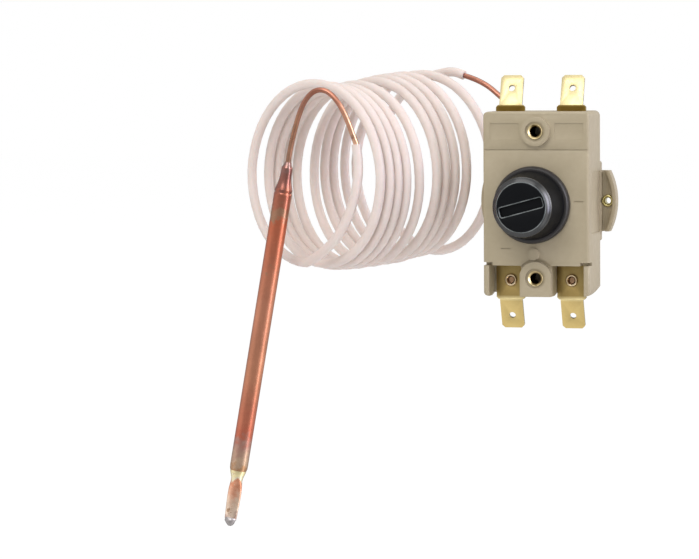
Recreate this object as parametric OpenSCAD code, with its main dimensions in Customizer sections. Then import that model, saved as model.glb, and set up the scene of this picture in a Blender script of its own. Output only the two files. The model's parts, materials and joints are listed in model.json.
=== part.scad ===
// Capillary safety temperature limiter with manual reset and a remote sensing bulb.
// Front towards -Y, +Z up. The origin is midway between the two fixing holes,
// on the plane of the boss fronts, where the housing meets its panel.

/* [Housing] */
// Width of the housing
body_w = 29.5; // [29:0.5:33]
// Height of the housing above the middle of its fixing holes
top_h = 25.4; // [25:0.1:28]
// Height of the housing below that middle
low_h = 25; // [24.6:0.1:28]
// Depth of the housing, from its face to its back edge
body_d = 15.3; // [15:0.1:18]
// Thickness of the side walls
side_wall = 1.6; // [1.2:0.1:1.9]
// Thickness of the front wall
front_wall = 1.8; // [1.4:0.1:2.2]
// Radius of the corners, seen from the front
corner_r = 1.5; // [1:0.1:2.5]
// Radius along the edges of the face
edge_r = 0.8; // [0.4:0.1:1.2]
// Height of the long bevel under the back edge
heel_bevel = 2.1; // [1:0.1:3]

/* [Fixing] */
// Distance between the two fixing holes
hole_spacing = 40; // [38:0.5:41]
// Diameter of the upper boss
boss_d = 8; // [7:0.1:8.6]
// Width of the lower boss
tongue_w = 9; // [8:0.1:9.2]
// How far the bosses stand proud of the face
boss_h = 1.3; // [0.8:0.1:2]
// Outer diameter of the threaded inserts
insert_d = 4.15; // [3.9:0.05:4.6]
// Diameter of the hole in the inserts
insert_bore = 3; // [2.6:0.1:3.2]
// Length of the inserts
insert_len = 6.6; // [5:0.1:8]
// Diameter of the groove around each insert's mouth
groove_d = 5.5; // [5.2:0.1:6]

/* [Rear cover] */
// How far the ears stand out from the housing's sides
ear_out = 4.25; // [3.8:0.05:5]
// Height of the rear cover's middle above that of the fixing holes
rear_up = 0.45; // [0:0.05:0.8]
// Height of the ears
ear_h = 16.8; // [14:0.1:18]
// Width of the rim along each ear
ear_rim = 1; // [0.8:0.1:1.2]
// Thickness of the flange
ear_t = 3.5; // [3:0.1:4]
// Depth of the recess in each ear
ear_recess = 2; // [1:0.1:2.2]
// Height of the block behind the housing
rear_block_h = 21.9; // [19:0.1:24]
// Depth of that block
rear_block_d = 2.6; // [2.2:0.1:3]
// Thickness of the plate inside the housing's back
cover_t = 1.6; // [1.2:0.1:2]

/* [Terminals] */
// Thickness of the brass sheet
blade_t = 0.8; // [0.7:0.05:0.9]
// Width of the blades
blade_w = 6.3; // [5.8:0.1:6.6]
// Length of a blade, from its bend to its tip
blade_len = 8.8; // [7.5:0.1:9.5]
// Backward tilt of the blades
blade_tilt = 21; // [10:1:30]
// Chamfer at a blade's tip
blade_chamfer = 0.8; // [0.4:0.1:1.2]
// Diameter of the hole in a blade
blade_hole = 1.75; // [1.4:0.05:2]
// Distance from that hole to the blade's tip
blade_hole_in = 3.8; // [3:0.1:4.4]
// Width of the web between the left and right terminals
web_w = 8.6; // [8.4:0.1:9]
// Distance from a terminal plate to the housing's side
plate_edge = 2.2; // [2:0.1:2.6]
// Thickness of the walls beside the lower recesses
recess_wall = 1.55; // [1.2:0.05:1.9]
// Distance from the boss fronts to the terminal plates
plate_depth = 8; // [7.8:0.1:8.2]
// How far the upper plates reach past the housing's top
plate_over_top = 1.7; // [0.8:0.1:2]
// How far the lower plates reach past its bottom
plate_over_low = 1.2; // [0.8:0.1:2]
// Thickness of the pads behind the plates
pad_t = 1.6; // [1.4:0.1:1.8]
// Height of the lower recesses
recess_h = 8.4; // [7.6:0.1:8.8]
// Height of the terminal rivets above or below the middle
rivet_z = 20.9; // [20.4:0.1:21.2]
// Radius of the rivets' shanks
rivet_r = 1.3; // [1.1:0.05:1.35]
// Radius of the rivets' heads
rivet_head_r = 1.65; // [1.5:0.05:1.75]

/* [Reset cap] */
// Sideways offset of the reset axis from the fixing holes
knob_x = -1; // [-1.5:0.1:0]
// Diameter of the bush's flange
flange_d = 21.2; // [20:0.1:23]
// Height of the flange above the face
flange_h = 2.3; // [1.8:0.1:3]
// Width of the flange's lip
lip_w = 0.8; // [0.5:0.1:1.2]
// Depth of the dish inside the lip
dish_d = 0.9; // [0.5:0.1:1.2]
// Diameter of the bush's threaded tube
tube_d = 9.6; // [9:0.1:10.4]
// Length of that tube
tube_len = 7.9; // [6:0.1:9]
// Diameter of the cap's face
cap_face_d = 13.9; // [13:0.1:15]
// Gap between the cap's skirt and the flange's lip
skirt_gap = 0.2; // [0.15:0.05:0.6]
// Distance from the boss fronts to the cap's face
cap_reach = 13.4; // [12.4:0.1:15]
// Length of the coin slot
slot_l = 12; // [10:0.1:12.4]
// Width of the coin slot
slot_w = 2.6; // [2:0.1:3]
// Depth of the coin slot
slot_d = 1.2; // [0.8:0.1:1.6]
// Angle of the coin slot above level
slot_angle = 15; // [0:1:45]

/* [Reset button] */
// Diameter of the plunger
button_d = 5; // [4.4:0.1:5.2]
// How far the plunger stands out of the tube
button_out = 1.4; // [1:0.1:1.5]
// Stroke of the plunger
button_stroke = 1.6; // [1.2:0.1:1.6]
// Diameter of the plunger's collar
collar_d = 8; // [7:0.1:9]
// Wire diameter of the springs
spring_wire = 0.5; // [0.4:0.05:0.6]

/* [Switch] */
// Travel of the contact carrier when it trips
trip_travel = 1.5; // [1.2:0.1:1.5]
// Thickness of the contact carrier
carrier_t = 1.6; // [1.4:0.1:1.8]
// Thickness of the contact bars
bar_t = 0.6; // [0.5:0.05:0.7]
// Width of the contact bars
bar_w = 4; // [3.4:0.1:4.4]
// Height of the contact tips above or below the middle
contact_z = 10; // [9.6:0.1:10.2]
// Diameter of the contact tips
contact_d = 3; // [2.4:0.1:3.4]
// Gap between closed contacts
contact_gap = 0.1; // [0.05:0.05:0.15]
// Height of the carrier's guide posts above or below the middle
post_z = 8.5; // [8.2:0.1:8.8]
// Diameter of the guide posts
post_d = 2.4; // [2:0.1:2.6]
// Depth of the lever's pivot below the middle
pivot_z = 9; // [8.6:0.1:9.2]
// Diameter of the lever's pin
pin_d = 1.5; // [1.3:0.1:1.6]
// Thickness of the trip lever
lever_t = 0.8; // [0.6:0.05:0.9]
// Running clearance of a shaft, all round
running = 0.05; // [0.03:0.01:0.08]

/* [Diaphragm] */
// Diameter of the diaphragm capsule
capsule_d = 22; // [20:0.5:23]
// Thickness of the diaphragm capsule
capsule_t = 2.4; // [2:0.1:2.6]
// Diameter of the thrust pin
thrust_d = 3; // [2.4:0.1:3.4]
// Depth of the cup behind the flange
cup_depth = 4.6; // [4.2:0.1:6]
// Thickness of the cup's sheet
cup_t = 0.8; // [0.6:0.1:1]
// Height of the cup's flange
cup_flange_h = 13; // [11:0.1:15]

/* [Capillary and bulb] */
// Outer diameter of the copper capillary
capillary_d = 1.5; // [1.2:0.1:1.8]
// Outer diameter of the sleeve over the coil
sleeve_d = 2.65; // [2.2:0.05:2.9]
// Radius of the coil, to the middle of the sleeve
coil_r = 25.3; // [24:0.1:27]
// Direction of the coil's axis, from straight back towards the right
coil_turned = 35; // [30:1:38]
// Diameter of the bulb
bulb_d = 5; // [4:0.1:6]
// Length of the bulb's straight part
bulb_len = 77.5; // [60:0.1:90]
// Tilt of the bulb from upright
bulb_tilt = 10; // [0:1:14]
// Length of the pinched tail
pinch_len = 11; // [8:0.5:14]
// Thickness of the pinched tail
pinch_t = 1.6; // [1.3:0.1:2]

/* [Hidden] */
$fn = 48;

// Planes from front to back
face_y = boss_h;
inner_y = face_y + front_wall;
plate_back = plate_depth + blade_t;
pad_back = plate_back + pad_t;
back_y = face_y + body_d;
cover_front = back_y - cover_t;
block_back = back_y + rear_block_d;
ear_front = back_y + 0.9;
ear_back = ear_front + ear_t;
ear_floor = ear_front + ear_recess;
capsule_front = ear_back - capsule_t + 0.4;
cup_back = ear_back + cup_t + cup_depth;

// Housing
half_w = body_w / 2;
body_h = top_h + low_h;
mid_z = (top_h - low_h) / 2;
hole_z = hole_spacing / 2;
slip = 0.1;
plate_gap = 0.15;
plate_w = half_w - web_w / 2 - plate_gap - plate_edge;
pole_x = web_w / 2 + plate_gap + plate_w / 2;
floor_t = 2.2;
plate_cut = 0.8;
room_h = low_h - recess_h - floor_t;
rivet_hole_r = rivet_r + 0.05;
ear_r = half_w + ear_out;
ear_rivet_x = ear_r - ear_rim - rivet_head_r;

// Contacts: the fixed tips face the front, the bars lie before them
tip_t = 0.5;
fixed_tip_t = 0.8;
leg_w = 5;
leg_front = pad_back + 1.6;
fixed_tip_front = leg_front - fixed_tip_t;
bar_back = fixed_tip_front - contact_gap - tip_t;
bar_front = bar_back - bar_t;
carrier_front = bar_front - carrier_t;
post_back = fixed_tip_front;

// Trip lever and its pin
lever_front = leg_front + 0.7;
lever_mid = lever_front + lever_t / 2;
lever_w = 6;
eye_r = pin_d / 2 + running + 0.6;
lug_gap = 0.3;
lug_t = 1.4;
screw_z = 3.5;

// Reset column
flange_front = face_y - flange_h;
dish_floor = flange_front + dish_d;
tube_front = dish_floor - tube_len;
shank_d = 11.2;
shank_back = inner_y + 0.2;
collar_t = 0.9;
collar_front = shank_back + 0.2;
spring_seat = collar_front + collar_t;
pilot_end = carrier_front - trip_travel - button_stroke - 0.3;
cap_base = dish_floor - 0.3;
lip_in = flange_d / 2 - 0.6 - lip_w;
skirt_r = lip_in - skirt_gap;

// Bulb
bulb_neck = [-67.4, -8, 11.7];
neck_len = 1.8;
cone_len = 6.6;
crimp_len = 3.8;
crimp_r = 1.7;
neck_r = 1.65;
straight_top = neck_len + cone_len;
straight_end = straight_top + bulb_len;
tail_top = straight_end + crimp_len;

// Route of the bare copper from the ferrule behind the housing to the sleeve's far end
ferrule_len = 2;
ferrule_back = cup_back + ferrule_len;
body_end_route = [[0, ferrule_back, 0], [0, 30, 0.2], [0, 31.8, 2], [-0.6, 32.4, 6], [-2.4, 32.4, 11.5],
                  [-5.4, 32.2, 17], [-9, 32, 21.6], [-13.2, 31.8, 25.8], [-17, 32, 29.2], [-20.4, 32.9, 31.8],
                  [-24, 34, 33.6], [-27.9, 35.3, 34.9]];
// Route of the bare copper from the sleeve's near end over its loop into the bulb's neck
bulb_end_route = [[-47.6, -9.5, 16.8], [-48.6, -9.5, 19.4], [-50.4, -9.5, 24], [-52.6, -9.3, 28], [-55.2, -9, 30.7],
                  [-57.8, -8.7, 31.6], [-60.3, -8.5, 30.8], [-62.6, -8.2, 28.2], [-64.3, -8, 24.4],
                  [-65.6, -8, 20], [-66.7, -8, 15.6], bulb_neck];
// The sleeve's near end, inside the coil, down to where the turns begin
near_tail = [bulb_end_route[0], [-47.1, -9.5, 10], [-48.3, -8.7, 2.9], [-51.5, -6.8, -4.6], [-56.2, -4.2, -10.7]];
// The sleeve's far end, after the turns
far_tail = [[-32.2, 36.8, 35.9], body_end_route[len(body_end_route) - 1]];
// Where each half turn passes the coil's left and right sides by turns, measured along its axis
half_turn_at = [-2.6, -0.4, 4.1, 5.6, 7.4, 8.8, 10.4, 12.3, 13.5, 15.9, 18.1, 22.3, 24.6, 26.1, 27.8, 29.4,
    31.3, 33.6, 35.5, 37.9, 44.9, 46.8, 50.5];
// How far each half turn is lifted at the coil's bottom and top by turns
half_turn_lift = [0, -1.2, -0.6, -2, -1.3, -2.6, -1.4, -2.6, -1.4, -2, -1.2, -1.2, -0.9, -0.6, -0.7, -0.3, 0, 0,
    0.5, 0.2, 0.6, 0, 0];
coil_start = [-64, 2, 9];
coil_rise = 0.017;
turns_from = -0.25;
turns_to = 10.2;
steps_per_turn = 20;
coil_axis = [sin(coil_turned), cos(coil_turned), coil_rise];
coil_side = [cos(coil_turned), -sin(coil_turned), 0];

// Outlines and solids shared by several pieces

// A solid between two depths, from an outline in X and Z
module slab(front, back) {
    translate([0, back, 0]) rotate([90, 0, 0]) linear_extrude(back - front) children();
}

// A solid of revolution about an axis along Y, from an outline in radius and depth
module turned(x = 0, z = 0) {
    translate([x, 0, z]) rotate([-90, 0, 0]) rotate_extrude() children();
}

// A round bar along Y
module bar_y(r, front, back, x = 0, z = 0) {
    translate([x, front, z]) rotate([-90, 0, 0]) cylinder(r = r, h = back - front);
}

// A round bar along X
module bar_x(r, from, to, y, z) {
    translate([from, y, z]) rotate([0, 90, 0]) cylinder(r = r, h = to - from);
}

// A block between two corners
module block(low, high) {
    translate(low) cube(high - low);
}

// A rectangle about the origin with round corners
module round_rect(w, h, r) {
    square([w - 2 * r, h], center = true);
    square([w, h - 2 * r], center = true);
    for (x = [-1, 1], y = [-1, 1]) translate([x * (w / 2 - r), y * (h / 2 - r)]) circle(r = r);
}

// A section of the housing from its face back, with round front edges
module face_profile(depth, height, r) {
    translate([r, -height / 2]) square([depth - r, height]);
    translate([0, r - height / 2]) square([depth, height - 2 * r]);
    for (y = [-1, 1]) translate([r, y * (height / 2 - r)]) circle(r = r);
}

// A washer-like ring about an axis along Y
module ring_y(outer, inner, front, back, x = 0, z = 0) {
    difference() {
        bar_y(outer, front, back, x, z);
        bar_y(inner, front - 1, back + 1, x, z);
    }
}

// A rivet along Y with a hollow head: front and back are the surfaces that it holds, deep is its bore's end
module tube_rivet(x, z, front, back, bore_r, deep) {
    head = front - 0.6;
    foot = back + 0.5;
    difference() {
        turned(x, z) polygon([[0, head + 0.5], [bore_r, head + 0.5], [bore_r + 0.35, head], [rivet_head_r - 0.2, head],
            [rivet_head_r, head + 0.2], [rivet_head_r, front], [rivet_r, front], [rivet_r, back],
            [rivet_r + 0.4, back], [rivet_r + 0.4, foot], [0, foot]]);
        bar_y(bore_r, head, deep, x, z);
    }
}

module square_between(low, high) {
    translate(low) square(high - low);
}

// Points along a smooth curve through the given ones, n for each stretch
function curve_point(p, i, t) =
    let (a = p[max(i - 1, 0)], b = p[i], c = p[i + 1], d = p[min(i + 2, len(p) - 1)])
    0.5 * (2 * b + (c - a) * t + (2 * a - 5 * b + 4 * c - d) * t * t + (3 * b - 3 * c + d - a) * t * t * t);
function smooth(p, n) = concat([for (i = [0:len(p) - 2], k = [0:n - 1]) curve_point(p, i, k / n)], [p[len(p) - 1]]);

function unit(v) = v / norm(v);
function heading(p, i) = unit(p[min(i + 1, len(p) - 1)] - p[max(i - 1, 0)]);
function square_to(d, u) = unit(u - d * (u * d));
// One sideways direction for each point, carried along the path without twist
function sideways(p, first) =
    [for (i = 0, u = square_to(heading(p, 0), first); i < len(p); i = i + 1, u = i < len(p) ? square_to(heading(p, i), u) : u) u];

// A round rod with flat ends that follows a path
module swept_rod(path, r, sides, first) {
    side = sideways(path, first);
    rings = [for (i = [0:len(path) - 1], k = [0:sides - 1])
        let (d = heading(path, i), v = cross(d, side[i]))
        path[i] + r * (cos(k * 360 / sides) * side[i] + sin(k * 360 / sides) * v)];
    last = (len(path) - 1) * sides;
    walls = [for (i = [0:len(path) - 2], k = [0:sides - 1])
        let (a = i * sides + k, b = i * sides + (k + 1) % sides)
        [a, a + sides, b + sides, b]];
    ends = [[for (k = [0:sides - 1]) k], [for (k = [sides - 1:-1:0]) last + k]];
    polyhedron(rings, concat(walls, ends));
}

// A coil spring along Y with closed ends
module spring_y(r, wire, front, back, turns, x = 0, z = 0) {
    steps = 12 * turns;
    rise = back - front - wire;
    path = [for (i = [0:steps])
        [x + r * cos(i * 30), front + wire / 2 + rise * i / steps, z + r * sin(i * 30)]];
    swept_rod(path, wire / 2, 6, [0, 1, 0]);
}

// Housing

module housing_block() {
    intersection() {
        slab(face_y, back_y) translate([0, mid_z]) round_rect(body_w, body_h, corner_r);
        rotate([90, 0, 90]) translate([face_y, mid_z, -half_w]) linear_extrude(body_w) difference() {
            face_profile(body_d, body_h, edge_r);
            polygon([[4, -body_h / 2 - 0.01], [body_d + 0.01, -body_h / 2 - 0.01],
                [body_d + 0.01, heel_bevel - body_h / 2]]);
        }
        translate([0, face_y, -low_h]) linear_extrude(body_h) rotate(90) face_profile(body_d, body_w, edge_r);
    }
}

module bosses() {
    bar_y(boss_d / 2, 0, inner_y, z = hole_z);
    bar_y(tongue_w / 2, 0, inner_y, z = -hole_z);
    block([-tongue_w / 2, 0, -low_h], [tongue_w / 2, inner_y, -hole_z]);
}

// The pocket that each insert stands in, with a ring groove around its mouth
module insert_pocket(z) {
    bar_y(insert_d / 2 + 0.02, -1, insert_len, z = z);
    bar_y(insert_bore / 2 + 0.1, 0, insert_len + 2.4, z = z);
    bar_y(groove_d / 2, -1, 0.5, z = z);
}

// The recess in front of a right lower terminal, the slot its plate passes and the side slot above it
module lower_recess() {
    low_edge = recess_h - low_h;
    block([web_w / 2, -1, -low_h - 1], [half_w - recess_wall, plate_back, low_edge]);
    block([pole_x - plate_w / 2 - plate_gap, plate_depth - slip, low_edge - 0.01],
        [pole_x + plate_w / 2 + plate_gap, plate_back, -room_h + 0.01]);
    block([half_w - 2.6, 0, low_edge], [half_w + 1, 5, low_edge + 0.9]);
}

// The pocket in front of a right upper terminal and the slot its plate leaves by
module upper_pocket() {
    x0 = pole_x - plate_w / 2 - plate_gap;
    x1 = pole_x + plate_w / 2 + plate_gap;
    block([x0, inner_y, room_h - 0.01], [x1, plate_back, top_h - side_wall]);
    block([x0, plate_depth - slip, top_h - side_wall - 0.01], [x1, plate_back, top_h + 1]);
}

// Shallow relief of the face: a panel step, a marking field and a short bar mark each side
module face_relief() {
    relief = 0.25;
    field_w = 8;
    field_x = half_w - 1.75 - field_w / 2;
    block([-half_w - 1, face_y - 1, 14.9], [half_w + 1, face_y + relief, 15.1]);
    for (s = [-1, 1])
        translate([s * field_x + 0.2, 0, hole_z]) slab(face_y - 1, face_y + relief) square([field_w, 4.5], center = true);
    block([half_w - 4.35, face_y - 1, 0.8], [half_w - 1.55, face_y + relief, 1.1]);
    block([5 - half_w, face_y - 1, -12.1], [7.6 - half_w, face_y + relief, -11.8]);
}

module front_housing() color([0.70, 0.64, 0.53]) difference() {
    union() {
        difference() {
            union() {
                housing_block();
                bosses();
            }
            slab(inner_y, back_y + 1) square([body_w - 2 * side_wall, 2 * room_h], center = true);
            slab(pad_back, back_y + 1) translate([0, mid_z]) back_opening(0);
            for (s = [0, 1]) mirror([s, 0, 0]) {
                lower_recess();
                upper_pocket();
                // Shallow side recess in front of the ear
                block([half_w - 0.3, face_y + 3.6, rear_up - ear_h / 2], [half_w + 1, back_y + 1, rear_up + ear_h / 2]);
            }
            face_relief();
            // Groove over the top of the lower boss
            intersection() {
                ring_y(tongue_w / 2 + 0.8, tongue_w / 2, -0.5, face_y + 0.5, z = -hole_z);
                block([-tongue_w, -1, 0.8 - hole_z], [tongue_w, inner_y, -hole_z + tongue_w]);
            }
        }
        // Raised round mark under the reset cap
        bar_y(1.6, face_y - 0.7, face_y + 0.1, knob_x + 0.4, -13.4);
        // Posts that guide the contact carrier
        for (s = [-1, 1]) bar_y(post_d / 2, inner_y - 0.1, post_back, knob_x, s * post_z);
    }
    for (s = [-1, 1]) insert_pocket(s * hole_z);
    bar_y(shank_d / 2 + 0.02, 0, inner_y + 1, knob_x);
    for (x = [-1, 1], z = [-1, 1]) {
        bar_y(rivet_hole_r, plate_depth, pad_back + 1, x * pole_x, z * rivet_z);
        bar_y(rivet_head_r + 0.35, pad_back - 0.01, pad_back + 1.2, x * pole_x, z * rivet_z);
    }
}

// The opening in the housing's back, or with a gap the plate that fills it
module back_opening(gap) {
    square([body_w - 2 * side_wall - 2 * gap, body_h - 2 * side_wall - 2 * heel_bevel - 2 * gap], center = true);
}

module rear_cover() color([0.69, 0.63, 0.52]) difference() {
    union() {
        slab(cover_front, back_y) translate([0, mid_z]) back_opening(slip);
        slab(back_y, block_back) translate([0, rear_up]) round_rect(body_w, rear_block_h, 0.6);
        slab(ear_front, ear_back) translate([0, rear_up]) ears(ear_r, ear_h);
        // Lugs that carry the lever's pin
        for (s = [-1, 1]) lever_lug(s);
    }
    // Recess in the front of each ear, behind its curved rim
    slab(ear_front - 1, ear_floor) translate([0, rear_up]) difference() {
        circle(r = ear_r - ear_rim, $fn = 96);
        square([body_w + 0.4, 4 * ear_r], center = true);
    }
    bar_y(capsule_d / 2 + 0.4, capsule_front - 0.3, ear_back + 1);
    bar_y(thrust_d / 2 + running, cover_front - 1, ear_back);
    for (s = [-1, 1]) {
        bar_y(rivet_hole_r, ear_floor - 0.1, ear_back + 1, s * ear_rivet_x, rear_up);
        bar_y(rivet_head_r + 0.1, ear_front - 1, ear_floor, s * ear_rivet_x, rear_up);
    }
    bar_x(pin_d / 2 + 0.02, knob_x - 6, knob_x + 6, lever_mid, -pivot_z);
}

// A disc cut off above and below
module ears(r, h) {
    intersection() {
        circle(r = r, $fn = 96);
        square([2 * r, h], center = true);
    }
}

module lever_lug(s) {
    from = lever_w / 2 + lug_gap;
    x0 = knob_x + min(s * from, s * (from + lug_t));
    bar_x(pin_d / 2 + 0.9, x0, x0 + lug_t, lever_mid, -pivot_z);
    block([x0, lever_mid, -pivot_z - pin_d / 2 - 0.9], [x0 + lug_t, cover_front + 0.1, -pivot_z + pin_d / 2 + 0.9]);
}

// Threaded inserts

module fixing_insert(z) color([0.80, 0.66, 0.36]) difference() {
    bar_y(insert_d / 2, 0, insert_len, z = z);
    bar_y(insert_bore / 2, -1, insert_len + 1, z = z);
    turned(0, z) polygon([[0, -0.3], [insert_bore / 2 + 0.55, -0.3], [0, insert_bore / 2 + 0.25]]);
}

module fixing_insert_upper() fixing_insert(hole_z);
module fixing_insert_lower() fixing_insert(-hole_z);

// Reset column

module cap_bush() color([0.07, 0.07, 0.08]) {
    bore = button_d / 2 + running;
    turned(knob_x) polygon([[bore, tube_front], [tube_d / 2 - 0.4, tube_front], [tube_d / 2, tube_front + 0.4],
        [tube_d / 2, dish_floor], [lip_in, dish_floor], [lip_in, flange_front], [flange_d / 2 - 0.6, flange_front],
        [flange_d / 2 - 0.1, flange_front + 0.8], [flange_d / 2, face_y], [shank_d / 2, face_y],
        [shank_d / 2, shank_back], [bore, shank_back]]);
}

// Radius of the cap's bell at a depth, from its face at 0 to its skirt at 1
function bell_r(t) = cap_face_d / 2 + (skirt_r - cap_face_d / 2) * pow(t, 2.2);

module reset_cap() color([0.06, 0.06, 0.07]) {
    bell_back = cap_base - 0.6;
    bell = bell_back + cap_reach;
    face_edge = 0.35;
    steps = 12;
    difference() {
        turned(knob_x) polygon(concat(
            [[0, -cap_reach], [cap_face_d / 2 - face_edge, -cap_reach]],
            [for (i = [0:steps]) [bell_r(i / steps), -cap_reach + face_edge + (bell - face_edge) * i / steps]],
            [[skirt_r, cap_base], [0, cap_base]]));
        bar_y(tube_d / 2 + slip, tube_front - button_out - 0.5, cap_base + 1, knob_x);
        turned(knob_x) square_between([0, cap_base - 2], [skirt_r - 1.2, cap_base + 1]);
        translate([knob_x, 0, 0]) slab(-cap_reach - 1, -cap_reach + slot_d) rotate(slot_angle)
            round_rect(slot_l, slot_w, 0.5);
    }
}

module reset_button() color([0.72, 0.12, 0.10]) {
    turned(knob_x) {
        square_between([0, tube_front - button_out + 0.3], [button_d / 2, collar_front + 0.1]);
        square_between([0, tube_front - button_out], [button_d / 2 - 0.4, collar_front]);
        square_between([0, collar_front], [collar_d / 2, spring_seat]);
        square_between([0, spring_seat - 0.1], [1.5, pilot_end]);
    }
}

module reset_spring() color([0.75, 0.76, 0.78])
    spring_y(2.2, spring_wire, spring_seat, carrier_front, 4, knob_x);

// Terminals

// One folded brass terminal: s is the side, e is 1 above and -1 below
module terminal(s, e) color([0.84, 0.72, 0.40]) {
    x = s * pole_x;
    end = e > 0 ? top_h + plate_over_top : low_h + plate_over_low;
    leg_z = room_h - 0.5;
    mirror([0, 0, e > 0 ? 0 : 1]) translate([x, 0, 0]) {
        difference() {
            union() {
                slab(plate_depth, plate_back) difference() {
                    translate([-plate_w / 2, leg_z - blade_t]) square([plate_w, end - leg_z + blade_t]);
                    for (k = [-1, 1]) translate([k * plate_w / 2, end]) rotate(45) square(plate_cut, center = true);
                }
                // Blade, bent backwards at the plate's end
                translate([0, plate_depth, end]) rotate([-blade_tilt, 0, 0]) blade();
            }
            bar_y(rivet_hole_r, plate_depth - 1, plate_back + 1, 0, rivet_z);
        }
        // Inner leg that carries the fixed contact
        block([-leg_w / 2, plate_depth, leg_z - blade_t], [leg_w / 2, leg_front + blade_t, leg_z]);
        block([-leg_w / 2, leg_front, contact_z - contact_d / 2 - 0.4], [leg_w / 2, leg_front + blade_t, leg_z]);
    }
}

module blade() {
    translate([0, 0, -0.1]) slab(0, blade_t) difference() {
        polygon([[-blade_w / 2, 0], [blade_w / 2, 0], [blade_w / 2, blade_len - blade_chamfer],
            [blade_w / 2 - blade_chamfer, blade_len], [blade_chamfer - blade_w / 2, blade_len],
            [-blade_w / 2, blade_len - blade_chamfer]]);
        translate([0, blade_len - blade_hole_in]) circle(d = blade_hole);
    }
}

module terminal_upper_left() terminal(-1, 1);
module terminal_upper_right() terminal(1, 1);
module terminal_lower_left() terminal(-1, -1);
module terminal_lower_right() terminal(1, -1);

module terminal_rivets() color([0.88, 0.80, 0.58])
    for (x = [-1, 1], z = [-1, 1])
        tube_rivet(x * pole_x, z * rivet_z, plate_depth, pad_back, 0.85, plate_back + 0.6);

module ear_rivets() color([0.80, 0.68, 0.38])
    for (s = [-1, 1])
        tube_rivet(s * ear_rivet_x, rear_up, ear_floor, ear_back + cup_t, 0.85, ear_back + cup_t + 2);

// Switch

module fixed_contacts() color([0.86, 0.87, 0.88])
    for (x = [-1, 1], z = [-1, 1])
        bar_y(contact_d / 2, fixed_tip_front, leg_front, x * pole_x, z * contact_z);

module contact_carrier() color([0.86, 0.83, 0.74]) difference() {
    union() {
        slab(carrier_front, bar_front) translate([knob_x, 0]) round_rect(8, 2 * (post_z + 2.4), 1);
        slab(carrier_front, bar_front) round_rect(2 * pole_x + bar_w + 2, 7, 1);
        bar_y(2, carrier_front, lever_front - 1.25, knob_x, screw_z);
        for (s = [-1, 1]) bar_y(0.8, carrier_front, bar_back + 0.4, s * pole_x);
    }
    for (s = [-1, 1]) bar_y(post_d / 2 + running, carrier_front - 1, bar_front + 1, knob_x, s * post_z);
}

module contact_bar(s) color([0.80, 0.50, 0.32]) {
    x = s * pole_x;
    difference() {
        translate([x, 0, 0]) slab(bar_front, bar_back) round_rect(bar_w, 2 * contact_z + bar_w, 1.5);
        bar_y(0.82, bar_front - 1, bar_back + 1, x);
    }
    for (z = [-1, 1]) bar_y(contact_d / 2, bar_back - 0.05, bar_back + tip_t, x, z * contact_z);
}

module contact_bar_left() contact_bar(-1);
module contact_bar_right() contact_bar(1);

module contact_springs() color([0.75, 0.76, 0.78])
    for (s = [-1, 1]) spring_y(post_d / 2 + spring_wire / 2 + 0.2, spring_wire, inner_y, carrier_front, 4, knob_x, s * post_z);

module trip_lever() color([0.70, 0.72, 0.75]) difference() {
    union() {
        block([knob_x - lever_w / 2, lever_front, -pivot_z], [knob_x + lever_w / 2, lever_front + lever_t, screw_z + 2]);
        bar_x(eye_r, knob_x - lever_w / 2, knob_x + lever_w / 2, lever_mid, -pivot_z);
    }
    bar_x(pin_d / 2 + running, knob_x - lever_w, knob_x + lever_w, lever_mid, -pivot_z);
    bar_y(0.92, lever_front - 1, lever_front + lever_t + 1, knob_x, screw_z);
}

module lever_pin() color([0.78, 0.79, 0.80])
    bar_x(pin_d / 2, knob_x - lever_w / 2 - lug_gap - lug_t, knob_x + lever_w / 2 + lug_gap + lug_t, lever_mid, -pivot_z);

module calibration_screw() color([0.82, 0.70, 0.40]) difference() {
    turned(knob_x, screw_z) {
        square_between([0, lever_front - 1.1], [0.9, lever_front + lever_t]);
        square_between([0, lever_front + lever_t], [1.5, lever_front + lever_t + 0.7]);
    }
    translate([knob_x, 0, screw_z]) slab(lever_front + lever_t + 0.35, lever_front + lever_t + 1) square([4, 0.5], center = true);
}

module thrust_pin() color([0.93, 0.92, 0.88])
    bar_y(thrust_d / 2, lever_front + lever_t + 0.1, capsule_front - 0.1);

// Diaphragm

// Depth of the capsule's ripple at a radius
function ripple(r) = 0.18 * (1 - cos(r / capsule_d * 2 * 360 * 3));

module diaphragm_capsule() color([0.78, 0.76, 0.70]) {
    rim = capsule_d / 2;
    steps = 36;
    skin = [for (i = [0:steps]) i * (rim - 0.8) / steps];
    turned() polygon(concat(
        [for (r = skin) [r, capsule_front + ripple(r)]],
        [[rim, capsule_front + capsule_t / 2 - 0.3], [rim, capsule_front + capsule_t / 2 + 0.3]],
        [for (i = [steps:-1:0]) [skin[i], capsule_front + capsule_t - ripple(skin[i])]]));
    bar_y(1.6, capsule_front + capsule_t - 0.1, cup_back - cup_t);
}

module diaphragm_cup() color([0.74, 0.74, 0.72]) {
    cup_r = capsule_d / 2 + 1.6;
    difference() {
        union() {
            slab(ear_back, ear_back + cup_t) translate([0, rear_up]) ears(ear_r - 0.5, cup_flange_h);
            turned() polygon([[0, cup_back], [cup_r - 1.4, cup_back], [cup_r, cup_back - 1.4], [cup_r, ear_back], [0, ear_back]]);
        }
        turned() polygon([[0, cup_back - cup_t], [cup_r - 1.7, cup_back - cup_t], [cup_r - cup_t, cup_back - 1.9],
            [cup_r - cup_t, ear_back - 1], [0, ear_back - 1]]);
        bar_y(1, cup_back - 2 * cup_t, cup_back + 1);
        for (s = [-1, 1]) bar_y(rivet_hole_r, ear_back - 1, ear_back + 2, s * ear_rivet_x, rear_up);
    }
}

module capillary_ferrule() color([0.80, 0.62, 0.36])
    turned() polygon([[0, cup_back], [2, cup_back], [2, cup_back + 0.8], [1.2, ferrule_back], [0, ferrule_back]]);

// Capillary

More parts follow.
